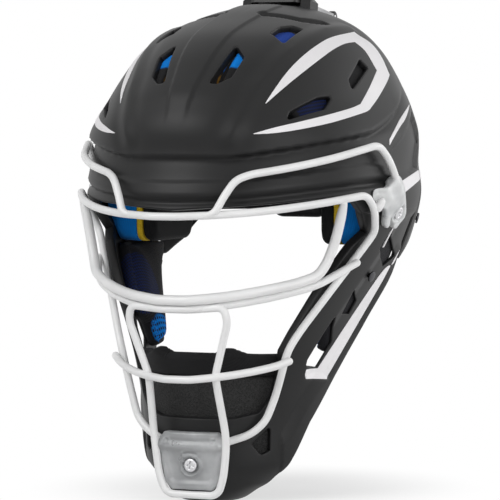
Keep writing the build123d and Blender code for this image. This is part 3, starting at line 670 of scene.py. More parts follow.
# Back plate: the same form behind the side gap, with two tall vents
backPlate = {"ventLength": 42.0, "ventWidth": 10.0, "ventSpread": 0.3, "ventLevel": 0.25,
             "ventFrom": 0.2, "rim": 0.9, "rimWidth": 3, "groove": 1.1, "groovePlace": (11, 1.6),
             "corner": 5, "angles": (0.02, math.pi - 0.02), "spacing": 2.6}
plateLoop = sideLoop(plateSideShares, backPlate["corner"])


def plateKeep(points):
    # inside the plate's outline and outside its vents, which are long holes with round ends
    p = local(points)
    half = (backPlate["ventLength"] - backPlate["ventWidth"]) / 2
    dx = np.abs(p[..., 0]) - backPlate["ventSpread"] * helmet["halfWidth"]
    dz = np.maximum(np.abs(p[..., 2] - backPlate["ventLevel"] * helmet["height"]) - half, 0)
    hole = np.hypot(dx, dz) - backPlate["ventWidth"] / 2
    rear = p[..., 1] > backPlate["ventFrom"] * helmet["length"]
    return np.minimum(inSide(plateLoop)(points), np.where(rear, hole, moulding["portFar"]))


def plateOuter(points, inside):
    # a soft raised rim and one shallow groove along the outline
    return (backPlate["rim"] * (ramp(inside, 0, backPlate["rimWidth"]) - 1)
            - backPlate["groove"] * bell(inside, *backPlate["groovePlace"]))


rearPlate = trimmedShell("rearPlate", (stepAtLevel(-0.03), 1), backPlate["angles"],
                         backPlate["spacing"], plateKeep, plateOuter,
                         flatFace(-helmet["wall"]), edge=moulding["edge"])
print("stage: back plate", len(rearPlate.data.polygons))

# Two lugs rise from the plate to the hinge of the crown ladder
lug = {"radius": 4.1, "drop": 20.0, "width": 4.5, "start": 12.3, "round": 0.9, "lean": 1.6,
       "deep": 3.5}
hinge = place((0, 0.148, 0.5185))[0] + np.array([0, 65.095, -10.893])


def lugLoop():
    # a half circle over the pin and a straight foot, in the side view
    a = np.linspace(0, math.pi, 14)
    arch = hinge[1:] + lug["radius"] * np.column_stack([np.cos(a), np.sin(a)])
    foot = hinge[1:] + [(sign * lug["radius"] + lug["lean"], -lug["drop"]) for sign in (-1, 1)]
    return np.vstack([arch, foot])


# Wires of the cage: straight runs joined by arcs
cage = {"wire": 2.5, "port": {"radius": 3.3, "ends": ("tapered", "tapered")},
        "closed": ("perimeter_wire", "chin_loop_wire"), "bend": 11.0, "sharp": 35.0,
        "share": 0.45, "sides": 24, "step": 1.6, "look": 0.8, "weld": 0.7, "weldWidth": 3.0,
        "taper": 0.34, "taperWidth": 7.0}

# Runs of the symmetric wires, over the left half
wireRuns = {
    "perimeter_wire": [
        (0, -0.492, 0.086), (0.083, -0.492, 0.086), (0.324, -0.46, 0.089), (0.565, -0.39, 0.096),
        (0.801, -0.284, 0.109), (0.958, -0.167, 0.123), (0.968, -0.125, 0.093),
        (0.935, -0.093, 0.047), (0.898, -0.106, 0.025), (0.611, -0.25, -0.149),
        (0.556, -0.273, -0.187), (0.481, -0.278, -0.28), (0.426, -0.288, -0.33),
        (0.343, -0.3, -0.356), (0.185, -0.33, -0.375), (0.056, -0.343, -0.379),
        (0, -0.343, -0.379)],
    "eye_port_wire": [
        (0, -0.447, -0.082), (0.093, -0.447, -0.082), (0.296, -0.417, -0.076),
        (0.481, -0.367, -0.065), (0.648, -0.301, -0.051), (0.741, -0.261, -0.037),
        (0.778, -0.241, -0.012), (0.819, -0.227, 0.031), (0.852, -0.223, 0.081),
        (0.88, -0.226, 0.1155)],
    "upper_cross_bar": [
        (0, -0.439, -0.1), (0.093, -0.439, -0.1), (0.296, -0.409, -0.093),
        (0.509, -0.347, -0.08), (0.722, -0.254, -0.058), (0.815, -0.189, -0.031),
        (0.875, -0.133, -0.012)],
    "lower_cross_bar": [
        (0, -0.427, -0.241), (0.083, -0.427, -0.241), (0.259, -0.401, -0.235),
        (0.417, -0.354, -0.226), (0.528, -0.307, -0.216), (0.593, -0.278, -0.205)],
    "chin_loop_wire": [
        (0, -0.43, -0.101), (0.093, -0.43, -0.101), (0.306, -0.42, -0.095),
        (0.326, -0.415, -0.125), (0.222, -0.396, -0.233), (0.222, -0.388, -0.255),
        (0.241, -0.348, -0.367), (0.213, -0.345, -0.442), (0.171, -0.341, -0.479),
        (0, -0.341, -0.479)],
}
browLoopShares = [
    (0.215, -0.474, 0.0875), (0.302, -0.467, 0.091), (0.343, -0.451, 0.124), (0.398, -0.432, 0.157),
    (0.463, -0.405, 0.168), (0.653, -0.345, 0.18), (0.833, -0.252, 0.197),
    (0.977, -0.11, 0.222), (1.0, -0.068, 0.193), (1.019, -0.042, 0.155), (1.021, -0.03, 0.126),
]
hookStubShares = [(0.966, -0.123, 0.09), (0.992, -0.113, 0.103), (1.004, -0.108, 0.115)]


def bentLine(shares):
    # each corner of the run gives way to an arc tangent to both of its sides
    points = place(shares)
    out = [points[:1]]
    for before, corner, after in zip(points, points[1:], points[2:]):
        a, b = before - corner, after - corner
        u, v = unit(a), unit(b)
        turn = math.pi - math.acos(float(np.clip(u @ v, -1, 1)))
        if turn < 1e-3:
            continue
        tangent = math.tan(turn / 2)
        longest = cage["share"] * min(np.linalg.norm(a), np.linalg.norm(b)) / tangent
        radius = min(longest, cage["bend"]) if math.degrees(turn) > cage["sharp"] else longest
        centre = corner + unit(u + v) * radius / math.cos(turn / 2)
        p, q = [unit(corner + arm * radius * tangent - centre) for arm in (u, v)]
        t = np.linspace(0, 1, max(int(math.degrees(turn) / 3), 3))[:, None]
        arc = (np.sin((1 - t) * turn) * p + np.sin(t * turn) * q) / math.sin(turn)
        out.append(centre + radius * arc)
    return np.vstack(out + [points[-1:]])


def wholeLine(shares, closed):
    # the left half and its mirror image as one line; open lines run from right to left
    half = bentLine(shares)
    other = half * mirror
    return np.vstack([half, other[-2:0:-1]]) if closed else np.vstack([other[::-1], half[1:]])


def tube(name, line, radius=cage["wire"], closed=False, ends=("round", "round"), ref=(0, 1, 0)):
    # circles of the radius stood square on the line; ends are round, with a weld or a taper
    if closed:
        line = np.vstack([line, line[:1]])
    line = line[np.append(True, np.diff(walked(line)) > 1e-6)]
    along = walked(line)
    total = along[-1]
    s = np.linspace(0, total, int(total / cage["step"]) + 1)
    if closed:
        s = s[:-1]
    else:
        tip = radius * (1 - np.cos(np.linspace(0, math.pi / 2, 8)))
        s = np.unique(np.concatenate([tip, s[(s > radius) & (s < total - radius)], total - tip]))
    before, after = [
        sampled(line, along, np.mod(s + way, total) if closed else np.clip(s + way, 0, total),
                total if closed else None) for way in (-cage["look"], cage["look"])]
    size = np.full(len(s), float(radius))
    for end, d in [] if closed else zip(ends, (s, total - s)):
        if end == "welded":
            size = size + cage["weld"] * bell(d, radius, cage["weldWidth"])
        if end == "tapered":
            size = size * (1 - cage["taper"] * bell(d, 0, cage["taperWidth"]))
        size = size * np.sqrt(np.clip(1 - (1 - np.minimum(d / radius, 1)) ** 2, 0, 1))
    side = unit(np.cross(unit(after - before), np.array(ref, float)))
    up = np.cross(side, unit(after - before))
    n = cage["sides"]
    first = np.arange(n)
    turn = (first / n * 2 * math.pi)[None, :, None]
    ring = np.cos(turn) * side[:, None] + np.sin(turn) * up[:, None]
    verts = (sampled(line, along, s)[:, None] + ring * size[:, None, None]).reshape(-1, 3)
    faceSets = [gridFaces(len(s), n, True)]
    if not closed:
        return mergeDoubles(addMesh(name, verts, faceSets))
    last, step = (len(s) - 1) * n + first, np.roll(first, -1)
    return addMesh(name, verts, faceSets + [np.stack([last, last[step], step, first], 1)])


browLine, hookLine = bentLine(browLoopShares), bentLine(hookStubShares)
wires = {node: [tube(camel(node), wholeLine(run, node in cage["closed"]),
                     closed=node in cage["closed"],
                     **(cage["port"] if node == "eye_port_wire" else {}))]
         for node, run in wireRuns.items()}
turnOver = {False: np.array([1, 1, 1]), True: mirror}
for side, cap, flip in sides:
    wires["brow_loop_" + side] = [tube("browLoop" + cap, browLine * turnOver[flip],
                                       ends=("tapered", "round"),
                                       ref=(0.3, 0.3, -1) * turnOver[flip])]
wires["hook_stubs"] = [tube("hookStub" + cap, hookLine * turnOver[flip],
                            ends=("welded", "round"), ref=(0, 0.6, -1))
                       for side, cap, flip in sides]
print("stage: cage")

# Clips of frosted plastic, moulded over the wires they hold
templeClipLoop = flowing([
    (90.4, 47.6), (94.2, 46.6), (97.0, 41.4), (98.8, 34.0), (99.2, 24.0), (95.5, 18.6),
    (92.0, 14.6), (89.6, 16.6), (88.9, 22.0), (88.0, 16.0), (85.6, 15.2), (83.8, 18.4),
    (84.2, 26.0), (81.6, 29.4), (78.6, 34.0), (78.8, 38.0), (82.0, 39.6), (85.6, 40.4),
    (88.0, 43.6)], [8])
chinClipHalf = [(0.167, -0.351), (0.194, -0.367), (0.206, -0.388), (0.164, -0.453), (0.12, -0.466)]
clip = {"thickness": 7.0, "corner": 2.4, "edge": 1.8, "seat": 4.0, "gap": 0.3, "spacing": 0.8}
templeForm = {"rimShare": 0.72, "rim": 5, "over": 2.4, "overPlace": (3, 4.2), "hook": 4.4,
              "hookWall": (10, 6), "well": (5.4, 4.6), "ring": 0.8, "ringPlace": (6.2, 0.9)}
chinForm = {"dish": 1.6, "dishWall": (1.5, 4.5), "ridge": 3.0, "ridgePlace": (-0.3785, 0.011),
            "well": (5.6, 4.8), "ring": 1.2, "ringPlace": (6.6, 0.9), "mark": 0.8,
            "dots": (15, -118.9), "dotPlace": (2.0, 0.7), "boss": (2.3, -127.2),
            "bossPlace": (2.3, 0.6)}
chinClipLoop = frontLoop(mirrored(chinClipHalf), clip["corner"])
screwPlaces = {
    "left": (place((0.966, -0.015, 0.087))[0], unit(np.array([0.945, -0.07, -0.32]))),
    "chin": (place((0, -0.329, -0.419))[0], np.array([0.0, -1.0, 0.0])),
}


def screwed(body, points, key, form):
    # a raised ring round the screw of the clip and a flat seat inside it
    origin, axis = screwPlaces[key]
    rel = points - origin
    away = np.linalg.norm(rel - (rel @ axis)[..., None] * axis, axis=-1)
    well = ramp(away, *form["well"])
    body = body + form["ring"] * bell(away, *form["ringPlace"])
    return body * (1 - well) + clip["seat"] * well


def templeOuter(points, inside):
    # a thinner rim, a swelling over the brow loop and a low place at the hook
    form = templeForm
    body = clip["thickness"] * (form["rimShare"]
                                + (1 - form["rimShare"]) * ramp(inside, 0, form["rim"]))
    body = body + form["over"] * bell(lineDistance(points, browLine), *form["overPlace"])
    body = body - form["hook"] * ramp(lineDistance(points, hookLine), *form["hookWall"])
    return screwed(body, points, "left", form)


def chinOuter(points, inside):
    # a dished face with a ridge at its top, two small rings on the lug and an oval boss under it
    form, p = chinForm, local(points)
    body = clip["thickness"] - form["dish"] * ramp(inside, *form["dishWall"])
    body = body + form["ridge"] * bell(p[..., 2] / helmet["height"], *form["ridgePlace"])
    dots = np.hypot(np.abs(p[..., 0]) - form["dots"][0], p[..., 2] - form["dots"][1])
    boss = np.hypot(p[..., 0] / form["boss"][0], p[..., 2] - form["boss"][1])
    body = body + form["mark"] * (bell(dots, *form["dotPlace"]) + bell(boss, *form["bossPlace"]))
    return screwed(body, points, "chin", form)


front = 1.5 * math.pi
clips = {}
for side, cap, flip in sides:
    clips["temple_clip_" + side] = trimmedShell(
        "templeClip" + cap, steps(0.03, 0.19), (-0.9, 0.4), clip["spacing"],
        lambda points: outlineDistance(seen(points), templeClipLoop),
        templeOuter, layer(relief, clip["gap"]), edge=clip["edge"], flip=flip)
clips["chin_clip"] = trimmedShell(
    "chinClip", (0.002, stepAtLevel(-0.33)), (front - 1.2, front + 1.2), clip["spacing"],
    lambda points: outlineDistance(points[..., [0, 2]], chinClipLoop),
    chinOuter, layer(relief, clip["gap"]), edge=clip["edge"])
print("stage: clips")


def turned(name, profile, placed, sides=48, recess=None):
    # a profile of radius and height, turned about the axis of each place
    profile = np.array(profile, float)
    turn = np.arange(sides) / sides * 2 * math.pi
    r, h = profile[:, :1], profile[:, 1:]
    x, y = r * np.cos(turn), r * np.sin(turn)
    z = np.broadcast_to(h, x.shape) - (recess(x, y, h) if recess else 0)
    verts, faceSets = [], []
    for origin, axis in placed:
        across = unit(np.cross(axis, [0.1, 0.2, 1.0]))
        other = np.cross(axis, across)
        grid = origin + x[..., None] * across + y[..., None] * other + z[..., None] * axis
        faceSets.append(gridFaces(len(profile), sides, True)[:, ::-1] + len(verts) * x.size)
        verts.append(grid.reshape(-1, 3))
    return mergeDoubles(addMesh(name, np.vstack(verts), faceSets))


def bothSides(origin, axis):
    # a place on the left and its mirror image
    return [(origin, axis), (origin * mirror, axis * mirror)]


# heads of screws and rivets: the dome starts at a share of the rise and narrows to its rim
pan = {"rings": 10, "domeShare": 0.72, "domeWidth": 0.97, "rimShare": 0.45, "round": 0.15,
       "fine": 26}
cross = {"arm": 2.6, "half": 0.62, "depth": 1.5, "wall": (1.15, 0.75), "floor": 4.5}


def panProfile(head, rise, shank, depth, seat):
    # domed top, rounded rim, flat underside, straight shank
    turn = np.linspace(0, 1, pan["rings"]) * math.pi / 2
    top = [(head * math.sin(a) * pan["domeWidth"],
            seat + rise * (pan["domeShare"] + (1 - pan["domeShare"]) * math.cos(a)))
           for a in turn]
    rim = [(head, seat + rise * pan["rimShare"]), (head, seat + pan["round"]),
           (head - pan["round"], seat)]
    return top + rim + [(shank, seat), (shank, -depth), (shank * 0.5, -depth), (0, -depth)]


def crossRecess(x, y, z):
    # two crossed tapering slots
    x, y = np.abs(x), np.abs(y)
    arm = np.minimum(np.maximum(x / cross["arm"], y / cross["half"]),
                     np.maximum(y / cross["arm"], x / cross["half"]))
    return cross["depth"] * ramp(arm, *cross["wall"]) * (z > cross["floor"])


def fineTop(profile):
    # more rings over the top, so that the recess has an edge
    profile = np.array(profile)
    crown = profile[:pan["rings"]]
    r = np.linspace(0, crown[-1, 0], pan["fine"])
    top = np.stack([r, np.interp(r, crown[:, 0], crown[:, 1])], 1)
    return np.vstack([top, profile[pan["rings"]:]])


jawRivet = (place((0.819, -0.008, -0.048))[0], unit(np.array([0.934, -0.062, -0.352])))
guideRivet = (place((0.199, 0.182, 0.497))[0], np.array([0.0, 0.0, 1.0]))
studPlace = (place((0.835, 0.273, 0.062))[0], unit(np.array([0.894, 0.366, -0.258])))
fasteners = {
    "clip_screws": turned("clipScrews", fineTop(panProfile(4.4, 2.4, 2.2, 6.0, 4.0)),
                          bothSides(*screwPlaces["left"]) + [screwPlaces["chin"]], 72,
                          crossRecess),
    "jaw_rivets": turned("jawRivets", panProfile(3.6, 1.6, 1.6, 5.0, 0), bothSides(*jawRivet)),
    "guide_rivets": turned("guideRivets", panProfile(3.0, 1.6, 1.6, 6.4, 6.6),
                           bothSides(*guideRivet)),
    "strap_studs": turned("strapStuds", panProfile(3.6, 1.6, 1.6, 6.8, 0), bothSides(*studPlace)),
}
print("stage: fasteners")

# Pads: a space behind the shell under an outline, crowned over its middle and drawn in at its rim
padding = {"gap": 4.0, "thickness": 15.0, "rimShare": 0.5, "crown": 16.0, "edge": 3.2,
           "corner": 7.0, "tab": 1.8, "square": 0.75, "rings": 10}


def padInner(crown, slim):
    # the depth grows along a quarter circle from the rim; slim thins it to a flap
    def inner(points, inside):
        t = np.clip(inside / crown, 0, 1)
        rise = padding["rimShare"] + (1 - padding["rimShare"]) * np.sqrt(1 - (1 - t) ** 2)
        depth = padding["thickness"] * rise
        if slim is not None:
            depth = depth + slim(points) * (padding["tab"] - depth)
        return -padding["gap"] - depth
    return inner


def pad(name, keep, levels, angles, crown=padding["crown"], slim=None, spacing=2.4, flip=False):
    # a pad between two levels of the form, trimmed by keep
    return trimmedShell(name, steps(*levels), angles, spacing, keep, flatFace(-padding["gap"]),
                        padInner(crown, slim), edge=padding["edge"], square=padding["square"],
                        rings=padding["rings"], flip=flip)


def limited(loop, axes, axis, limit, sign=1):
    # inside an outline and beyond a level of one axis
    return lambda points: np.minimum(outlineDistance(points[..., axes], loop),
                                     sign * (points[..., axis] - limit))


browPadLoop = frontLoop(mirrored([(0.694, 0.131), (0.694, 0.262)]), padding["corner"])
crownMiddleLoop = topLoop(mirrored([(0.167, -0.42), (0.167, 0.235)]), padding["corner"])
crownSideLoop = topLoop([(0.208, -0.4), (0.56, -0.33), (0.56, 0.19), (0.208, 0.225)],
                        padding["corner"])
templePadLoop = sideLoop([(-0.3, 0.275), (0.19, 0.275), (0.2, 0.4), (-0.25, 0.4)],
                         padding["corner"])
jawPadLoop = sideLoop([(-0.091, 0.006), (-0.03, 0.006), (-0.02, 0.056), (0.14, 0.056),
                       (0.132, -0.02), (0.076, -0.068), (0, -0.149), (-0.04, -0.203),
                       (-0.088, -0.207), (-0.108, -0.16), (-0.15, -0.132), (-0.195, -0.125)], 4.0)
napePadLoop = frontLoop([(0.046, 0.05), (0.38, 0.05), (0.463, 0.09), (0.463, 0.37),
                         (0.046, 0.37)], padding["corner"])
chinPadLoop = sideLoop([(-0.48, -0.193), (-0.148, -0.193), (-0.156, -0.2455), (-0.48, -0.2455)],
                       3)
chinFoamLoop = sideLoop([(-0.48, -0.245), (-0.14, -0.245), (-0.165, -0.345), (-0.195, -0.412),
                         (-0.48, -0.412)], 4)
crownFloor = 0.275 * helmet["height"] + datum[2]
chinLumps = {"top": -65.6, "rise": 3.6, "place": (29, 7)}
flapLevels = (-3.0, 2.5)


def jawTab(points):
    # the top of the jaw pad thins to a flap behind the ear pad
    return ramp(local(points)[..., 2], *flapLevels)


def chinPadKeep(points):
    # a low top edge with two rounded lumps beside the chin
    p = local(points)
    top = chinLumps["top"] + chinLumps["rise"] * bell(np.abs(p[..., 0]), *chinLumps["place"])
    return np.minimum(inSide(chinPadLoop)(points), top - p[..., 2])


halfTurn = (-math.pi / 2 - 0.1, math.pi / 2 + 0.1)
frontHalf = (math.pi - 0.05, 2 * math.pi + 0.05)
# single pads, then pads of both sides: what keeps them, levels, angles and what is their own
singlePads = {
    "brow_pad": (limited(browPadLoop, [0, 2], 1, datum[1] - 50.2, -1), (0.12, 0.3),
                 (front - 1.2, front + 1.2), {}),
    "crown_pad_middle": (limited(crownMiddleLoop, [0, 1], 2, crownFloor), (0.26, 0.6), None, {}),
    "chin_pad": (chinPadKeep, (-0.27, -0.16), frontHalf, {"crown": 9.0, "spacing": 1.6}),
    "chin_foam": (inSide(chinFoamLoop), (-0.435, -0.22), frontHalf, {"crown": 12.0}),
}
pairedPads = {
    "crown_pad": (limited(crownSideLoop, [0, 1], 2, crownFloor), (0.26, 0.6), halfTurn, {}),
    "temple_pad": (limited(templePadLoop, [1, 2], 0, 0.6 * helmet["halfWidth"]), (0.25, 0.43),
                   halfTurn, {}),
    "jaw_pad": (limited(jawPadLoop, [1, 2], 0, 0), (-0.235, 0.07), halfTurn,
                {"slim": jawTab, "spacing": 2.0}),
    "nape_pad": (limited(napePadLoop, [0, 2], 1, datum[1] + 0.2 * helmet["length"]), (0.02, 0.4),
                 (0, math.pi / 2 + 0.05), {}),
}
pads = {node: pad(camel(node), *spec, **more) for node, (*spec, more) in singlePads.items()}
for side, cap, flip in sides:
    for kind, (*spec, more) in pairedPads.items():
        pads[kind + "_" + side] = pad(camel(kind) + cap, *spec, flip=flip, **more)
print("stage: pads")

# Ear pads: foam on the shell, a thin band and the crowned liner at the ear
earPad = {"face": 60.05, "liner": 10.0, "band": 4.0, "corner": 9.0, "round": 4.0,
          "bandRound": 1.0, "foamRound": 1.6, "insets": 30 * (1 - np.linspace(0.02, 0.85, 6)),
          "foamInsets": (0.4, 1.0, 3.0, 8.0, 16.0, 24.0, 29.0), "foamGap": 6.6, "foamStep": 0.4}
earLoop = sideLoop([(-0.08, 0.017), (0.135, 0.017), (0.165, 0.09), (0.185, 0.186),
                    (-0.08, 0.186)], earPad["corner"])


def formX(y, z, inset):
    # half width of the form at a side view point
    t = np.interp(z, np.maximum.accumulate(formSizes[:, 0]), formSteps)
    a, mid, fore, rear = [np.interp(t, formSteps, formSizes[:, c]) for c in (1, 2, 3, 4)]
    reach = np.where(y < mid, fore, rear)
    return a * np.sqrt(np.clip(1 - ((y - mid) / reach) ** 2, 0.02, 1)) - inset


def slabRings(start, length, edge, insets, turns=6):
    # insets and heights from pole to pole: flat faces, and rims rounded by quarter circles
    low = [(inset, start) for inset in insets] + [
        (edge * (1 - math.sin(a)), start + edge * (1 - math.cos(a)))
        for a in np.linspace(0, math.pi / 2, turns)]
    return low, [(inset, 2 * start + length - height) for inset, height in reversed(low)]


def slabPad(name, loop, low, high, flip=False, step=2.0):
    # rings of an outline drawn in towards its middle: inset and height run from pole to pole
    closed = np.vstack([loop, loop[:1]])
    along = walked(closed)
    outline = sampled(closed, along, np.arange(0, along[-1], step))
    middle = outline.mean(0)
    size = np.linalg.norm(outline - middle, axis=1).mean()
    n = len(outline)
    rings = []
    for inset, height in low + high:
        ring = middle + (outline - middle) * (1 - inset / size)
        rings.append(np.column_stack([height(ring) if callable(height) else np.full(n, height),
                                      ring]))
    verts = np.vstack(rings + [rings[0].mean(0), rings[-1].mean(0)])
    ring = np.arange(n)
    last, pole = (len(rings) - 1) * n + ring, np.full(n, len(rings) * n)
    sets = [gridFaces(len(rings), n, True),
            np.stack([pole, np.roll(ring, -1), ring], 1),
            np.stack([last, np.roll(last, -1), pole + 1], 1)]
    after = np.roll(outline, -1, axis=0)
    area = (outline[:, 0] * after[:, 1] - outline[:, 1] * after[:, 0]).sum()
    if (area < 0) != flip:
        sets = mirrorFaces(sets)
    return addMesh(name, verts * mirror if flip else verts, sets)


for side, cap, flip in sides:
    bandFace = earPad["face"] + earPad["liner"]
    foamFace = bandFace + earPad["band"]
    pads["ear_liner_" + side] = slabPad("earLiner" + cap, earLoop, *slabRings(
        earPad["face"], earPad["liner"], earPad["round"], earPad["insets"]), flip)
    pads["ear_band_" + side] = slabPad("earBand" + cap, earLoop, *slabRings(
        bandFace, earPad["band"], earPad["bandRound"], earPad["insets"]), flip)
    outer = [(i, lambda ring, i=i: formX(ring[:, 0], ring[:, 1], earPad["foamGap"]
                                         + earPad["foamStep"] * max(2 - i, 0)))
             for i in earPad["foamInsets"]]
    pads["ear_foam_" + side] = slabPad("earFoam" + cap, earLoop, slabRings(
        foamFace, 0, earPad["foamRound"], earPad["insets"])[0], outer, flip)
plateLugs = [slabPad("plateLug" + cap, lugLoop(), *slabRings(
    lug["start"], lug["width"], lug["round"], [lug["deep"]], 5), flip, 1.0)
    for side, cap, flip in sides]

# Side straps: flat elastic from inside the front shell to the back plate
strap = {"gap": 4.0, "thickness": 1.6, "corner": 3.0, "chord": 4.5, "chordPlace": (44, 14),
         "border": 0.25, "borderWall": (1.2, 2.2), "edge": 0.5, "spacing": 1.0}
strapLoop = sideLoop([(0.095, 0.012), (0.303, 0.037), (0.303, 0.093), (0.095, 0.068)],
                     strap["corner"])


def strapFace(depth, border):
    # the pulled strap runs straight from anchor to anchor, so its middle leaves the curved wall;
    # its woven borders are raised
    def face(points, inside):
        chord = strap["chord"] * bell(local(points)[..., 1], *strap["chordPlace"])
        return -strap["gap"] - chord - depth + border * ramp(inside, *strap["borderWall"])
    return face


straps = {"side_strap_" + side: trimmedShell(
    "sideStrap" + cap, steps(-0.01, 0.115), (0, 1.3), strap["spacing"], inSide(strapLoop),
    strapFace(0, -strap["border"]), strapFace(strap["thickness"], strap["border"]),
    edge=strap["edge"], flip=flip) for side, cap, flip in sides}
print("stage: straps and ear pads")

# White painted bevels and lines: outlines seen in the three-quarter view, in millimetres
paint = {"rise": 0.26, "plateRise": 0.6, "sunk": 0.5, "edge": 0.1, "spacing": 0.62,
         "lineSpacing": 0.42, "rim": 1.6, "rings": 2}
crownStripe = flowing([
    (9.2, 92.2), (15.1, 101.5), (23.8, 113.9), (33.4, 124.4), (43.6, 133.0), (53.9, 139.5),
    (69.6, 144.7), (81.6, 136.6), (87.9, 128.0), (92.6, 115.7), (90.0, 110.1), (83.7, 99.4),
    (77.3, 90.5), (72.9, 88.1), (52.5, 81.2), (32.8, 76.7), (15.6, 74.1), (0.4, 73.4),
    (16.5, 77.8), (32.8, 81.7), (49.3, 86.1), (64.5, 90.9), (71.4, 94.1), (77.8, 105.5),
    (83.6, 117.9), (76.5, 130.7), (69.5, 136.9), (62.3, 135.0), (54.5, 130.4), (46.7, 124.3),
    (37.4, 116.7), (24.9, 106.2)], [0, 6, 9, 12, 17, 22, 24, 26])
jawStripe = flowing([
    (101.6, 2.6), (89.9, -16.7), (48.0, -84.1), (35.9, -84.0), (35.3, -81.0), (36.2, -77.8),
    (45.0, -77.7), (86.3, -18.2), (95.0, -9.4)], [0, 2, 3, 5, 6])
sideBand = flowing([(97.3, 43.5), (113.2, 53.6), (118.0, 50.0), (99.4, 35.7)], [0, 1, 2, 3])
rearLine = flowing([(107.4, 98.2), (100.1, 86.5), (91.6, 71.7), (91.3, 67.3), (93.1, 70.6),
                    (98.6, 79.4), (103.9, 87.5)], [0, 2, 3])
jawLine = flowing([(96.7, 18.6), (87.8, 1.5), (86.7, 1.3), (95.8, 18.3)], [0, 1, 2, 3])


def paintKeep(loops, carrier):
    # inside one of the painted outlines and inside the edge of what carries the paint
    def keep(points):
        q = seen(points)
        out = np.maximum.reduce([where(near(q, loop, 4), -10, outlineDistance, q, loop)
                                 for loop in loops])
        return np.minimum(out, inSide(carrier)(points) - paint["rim"])
    return keep


def plateFace(points):
    # the outer face of the back plate
    return plateOuter(points, plateKeep(points))


paintAreas = {
    "Crown": ([crownStripe], (0.2, 0.47), (-1.6, 0.45), paint["spacing"]),
    "Jaw": ([jawStripe], (-0.29, 0.02), (-0.9, 0.45), paint["spacing"]),
    "Side": ([sideBand], (0.09, 0.19), (-0.3, 0.8), paint["spacing"]),
    "Lines": ([rearLine, jawLine], (-0.02, 0.33), (-0.5, 0.5), paint["lineSpacing"]),
    "Plate": ([sideBand], (0.09, 0.2), (0.1, 1.1), paint["lineSpacing"]),
}
# the band runs on for a short way over the front edge of the back plate
bandLoop = sideLoop([(0.193, 0.031), (0.239, 0.14), (0.269, 0.264), (0.33, 0.264),
                     (0.3, 0.14), (0.258, 0.031)], 2)
paintWork = {"helmet": [], "rear_plate": []}
for area, (loops, levels, angles, spacing) in paintAreas.items():
    rider, carrier, face, rise = (
        ("rear_plate", bandLoop, plateFace, paint["plateRise"]) if area == "Plate"
        else ("helmet", shellLoop, relief, paint["rise"]))
    paintWork[rider] += [trimmedShell(
        "paint" + area + cap, steps(*levels), angles, spacing, paintKeep(loops, carrier),
        layer(face, rise), layer(face, -paint["sunk"]), edge=paint["edge"],
        rings=paint["rings"], flip=flip) for side, cap, flip in sides]
print("stage: paint")


# Finishes
class Value:
    # a socket whose sums and products become Math nodes
    def __init__(self, tree, socket):
        self.tree, self.socket = tree, socket

    def node(self, kind, settings=None, values=None, out=0):
        # one node with its settings and socket values; gives one of its outputs
        made = self.tree.nodes.new(kind)
        for key, value in (settings or {}).items():
            setattr(made, key, value)
        for key, value in (values or {}).items():
            if isinstance(value, Value):
                self.tree.links.new(value.socket, made.inputs[key])
            elif isinstance(value, tuple) and len(value) == 3 and made.inputs[key].type == "RGBA":
                made.inputs[key].default_value = (*value, 1)
            else:
                made.inputs[key].default_value = value
        return Value(self.tree, made.outputs[out])

    def maths(self, operation, a, b=0.0):
        # one Math node: a and b combined by the operation
        return self.node("ShaderNodeMath", {"operation": operation}, {0: a, 1: b})

    # sums, differences and products, each as one Math node
    def __add__(self, other):
        return self.maths("ADD", self, other)

    def __sub__(self, other):
        return self.maths("SUBTRACT", self, other)

    def __mul__(self, other):
        return self.maths("MULTIPLY", self, other)

    def sine(self):
        # the sine of this value in radians
        return self.maths("SINE", self)

    def band(self, low, high):
        # 0 at low, 1 at high, a smooth step between
        return self.node("ShaderNodeMapRange", {"interpolation_type": "SMOOTHSTEP"},
                         {"Value": self, "From Min": low, "From Max": high})

    def noise(self, scale, detail, roughness=0.5):
        # cloudy noise between 0 and 1 at these coordinates
        return self.node("ShaderNodeTexNoise", {}, {
            "Vector": self, "Scale": scale, "Detail": detail, "Roughness": roughness})

    def axes(self):
        # the x, y and z of a vector
        return [self.node("ShaderNodeSeparateXYZ", {}, {0: self}, out=k) for k in range(3)]

    def mixed(self, a, b):
        # this factor blends colour a into colour b
        return self.node("ShaderNodeMix", {"data_type": "RGBA"}, {0: self, 6: a, 7: b}, out=2)


def finish(name, **fixed):
    # a Principled surface with fixed socket values; gives it with its object coordinates
    # and the two ways to feed its sockets
    made = bpy.data.materials.new(name)
    made.use_nodes = True
    tree = made.node_tree
    shader = tree.nodes["Principled BSDF"]
    for key, value in fixed.items():
        socket = shader.inputs[key.replace("_", " ")]
        socket.default_value = (*value, 1) if isinstance(value, tuple) else value
    seed = Value(tree, None)
    coords = seed.node("ShaderNodeTexCoord", out=3)

    def link(key, value):
        # the value feeds the shader's socket of that name
        tree.links.new(value.socket, shader.inputs[key])

    def bump(height, strength, distance):
        # the height tilts the normal, as if it rose by the distance in metres
        link("Normal", coords.node("ShaderNodeBump", {}, {
            "Height": height, "Strength": strength, "Distance": distance}))

    return made, coords, link, bump


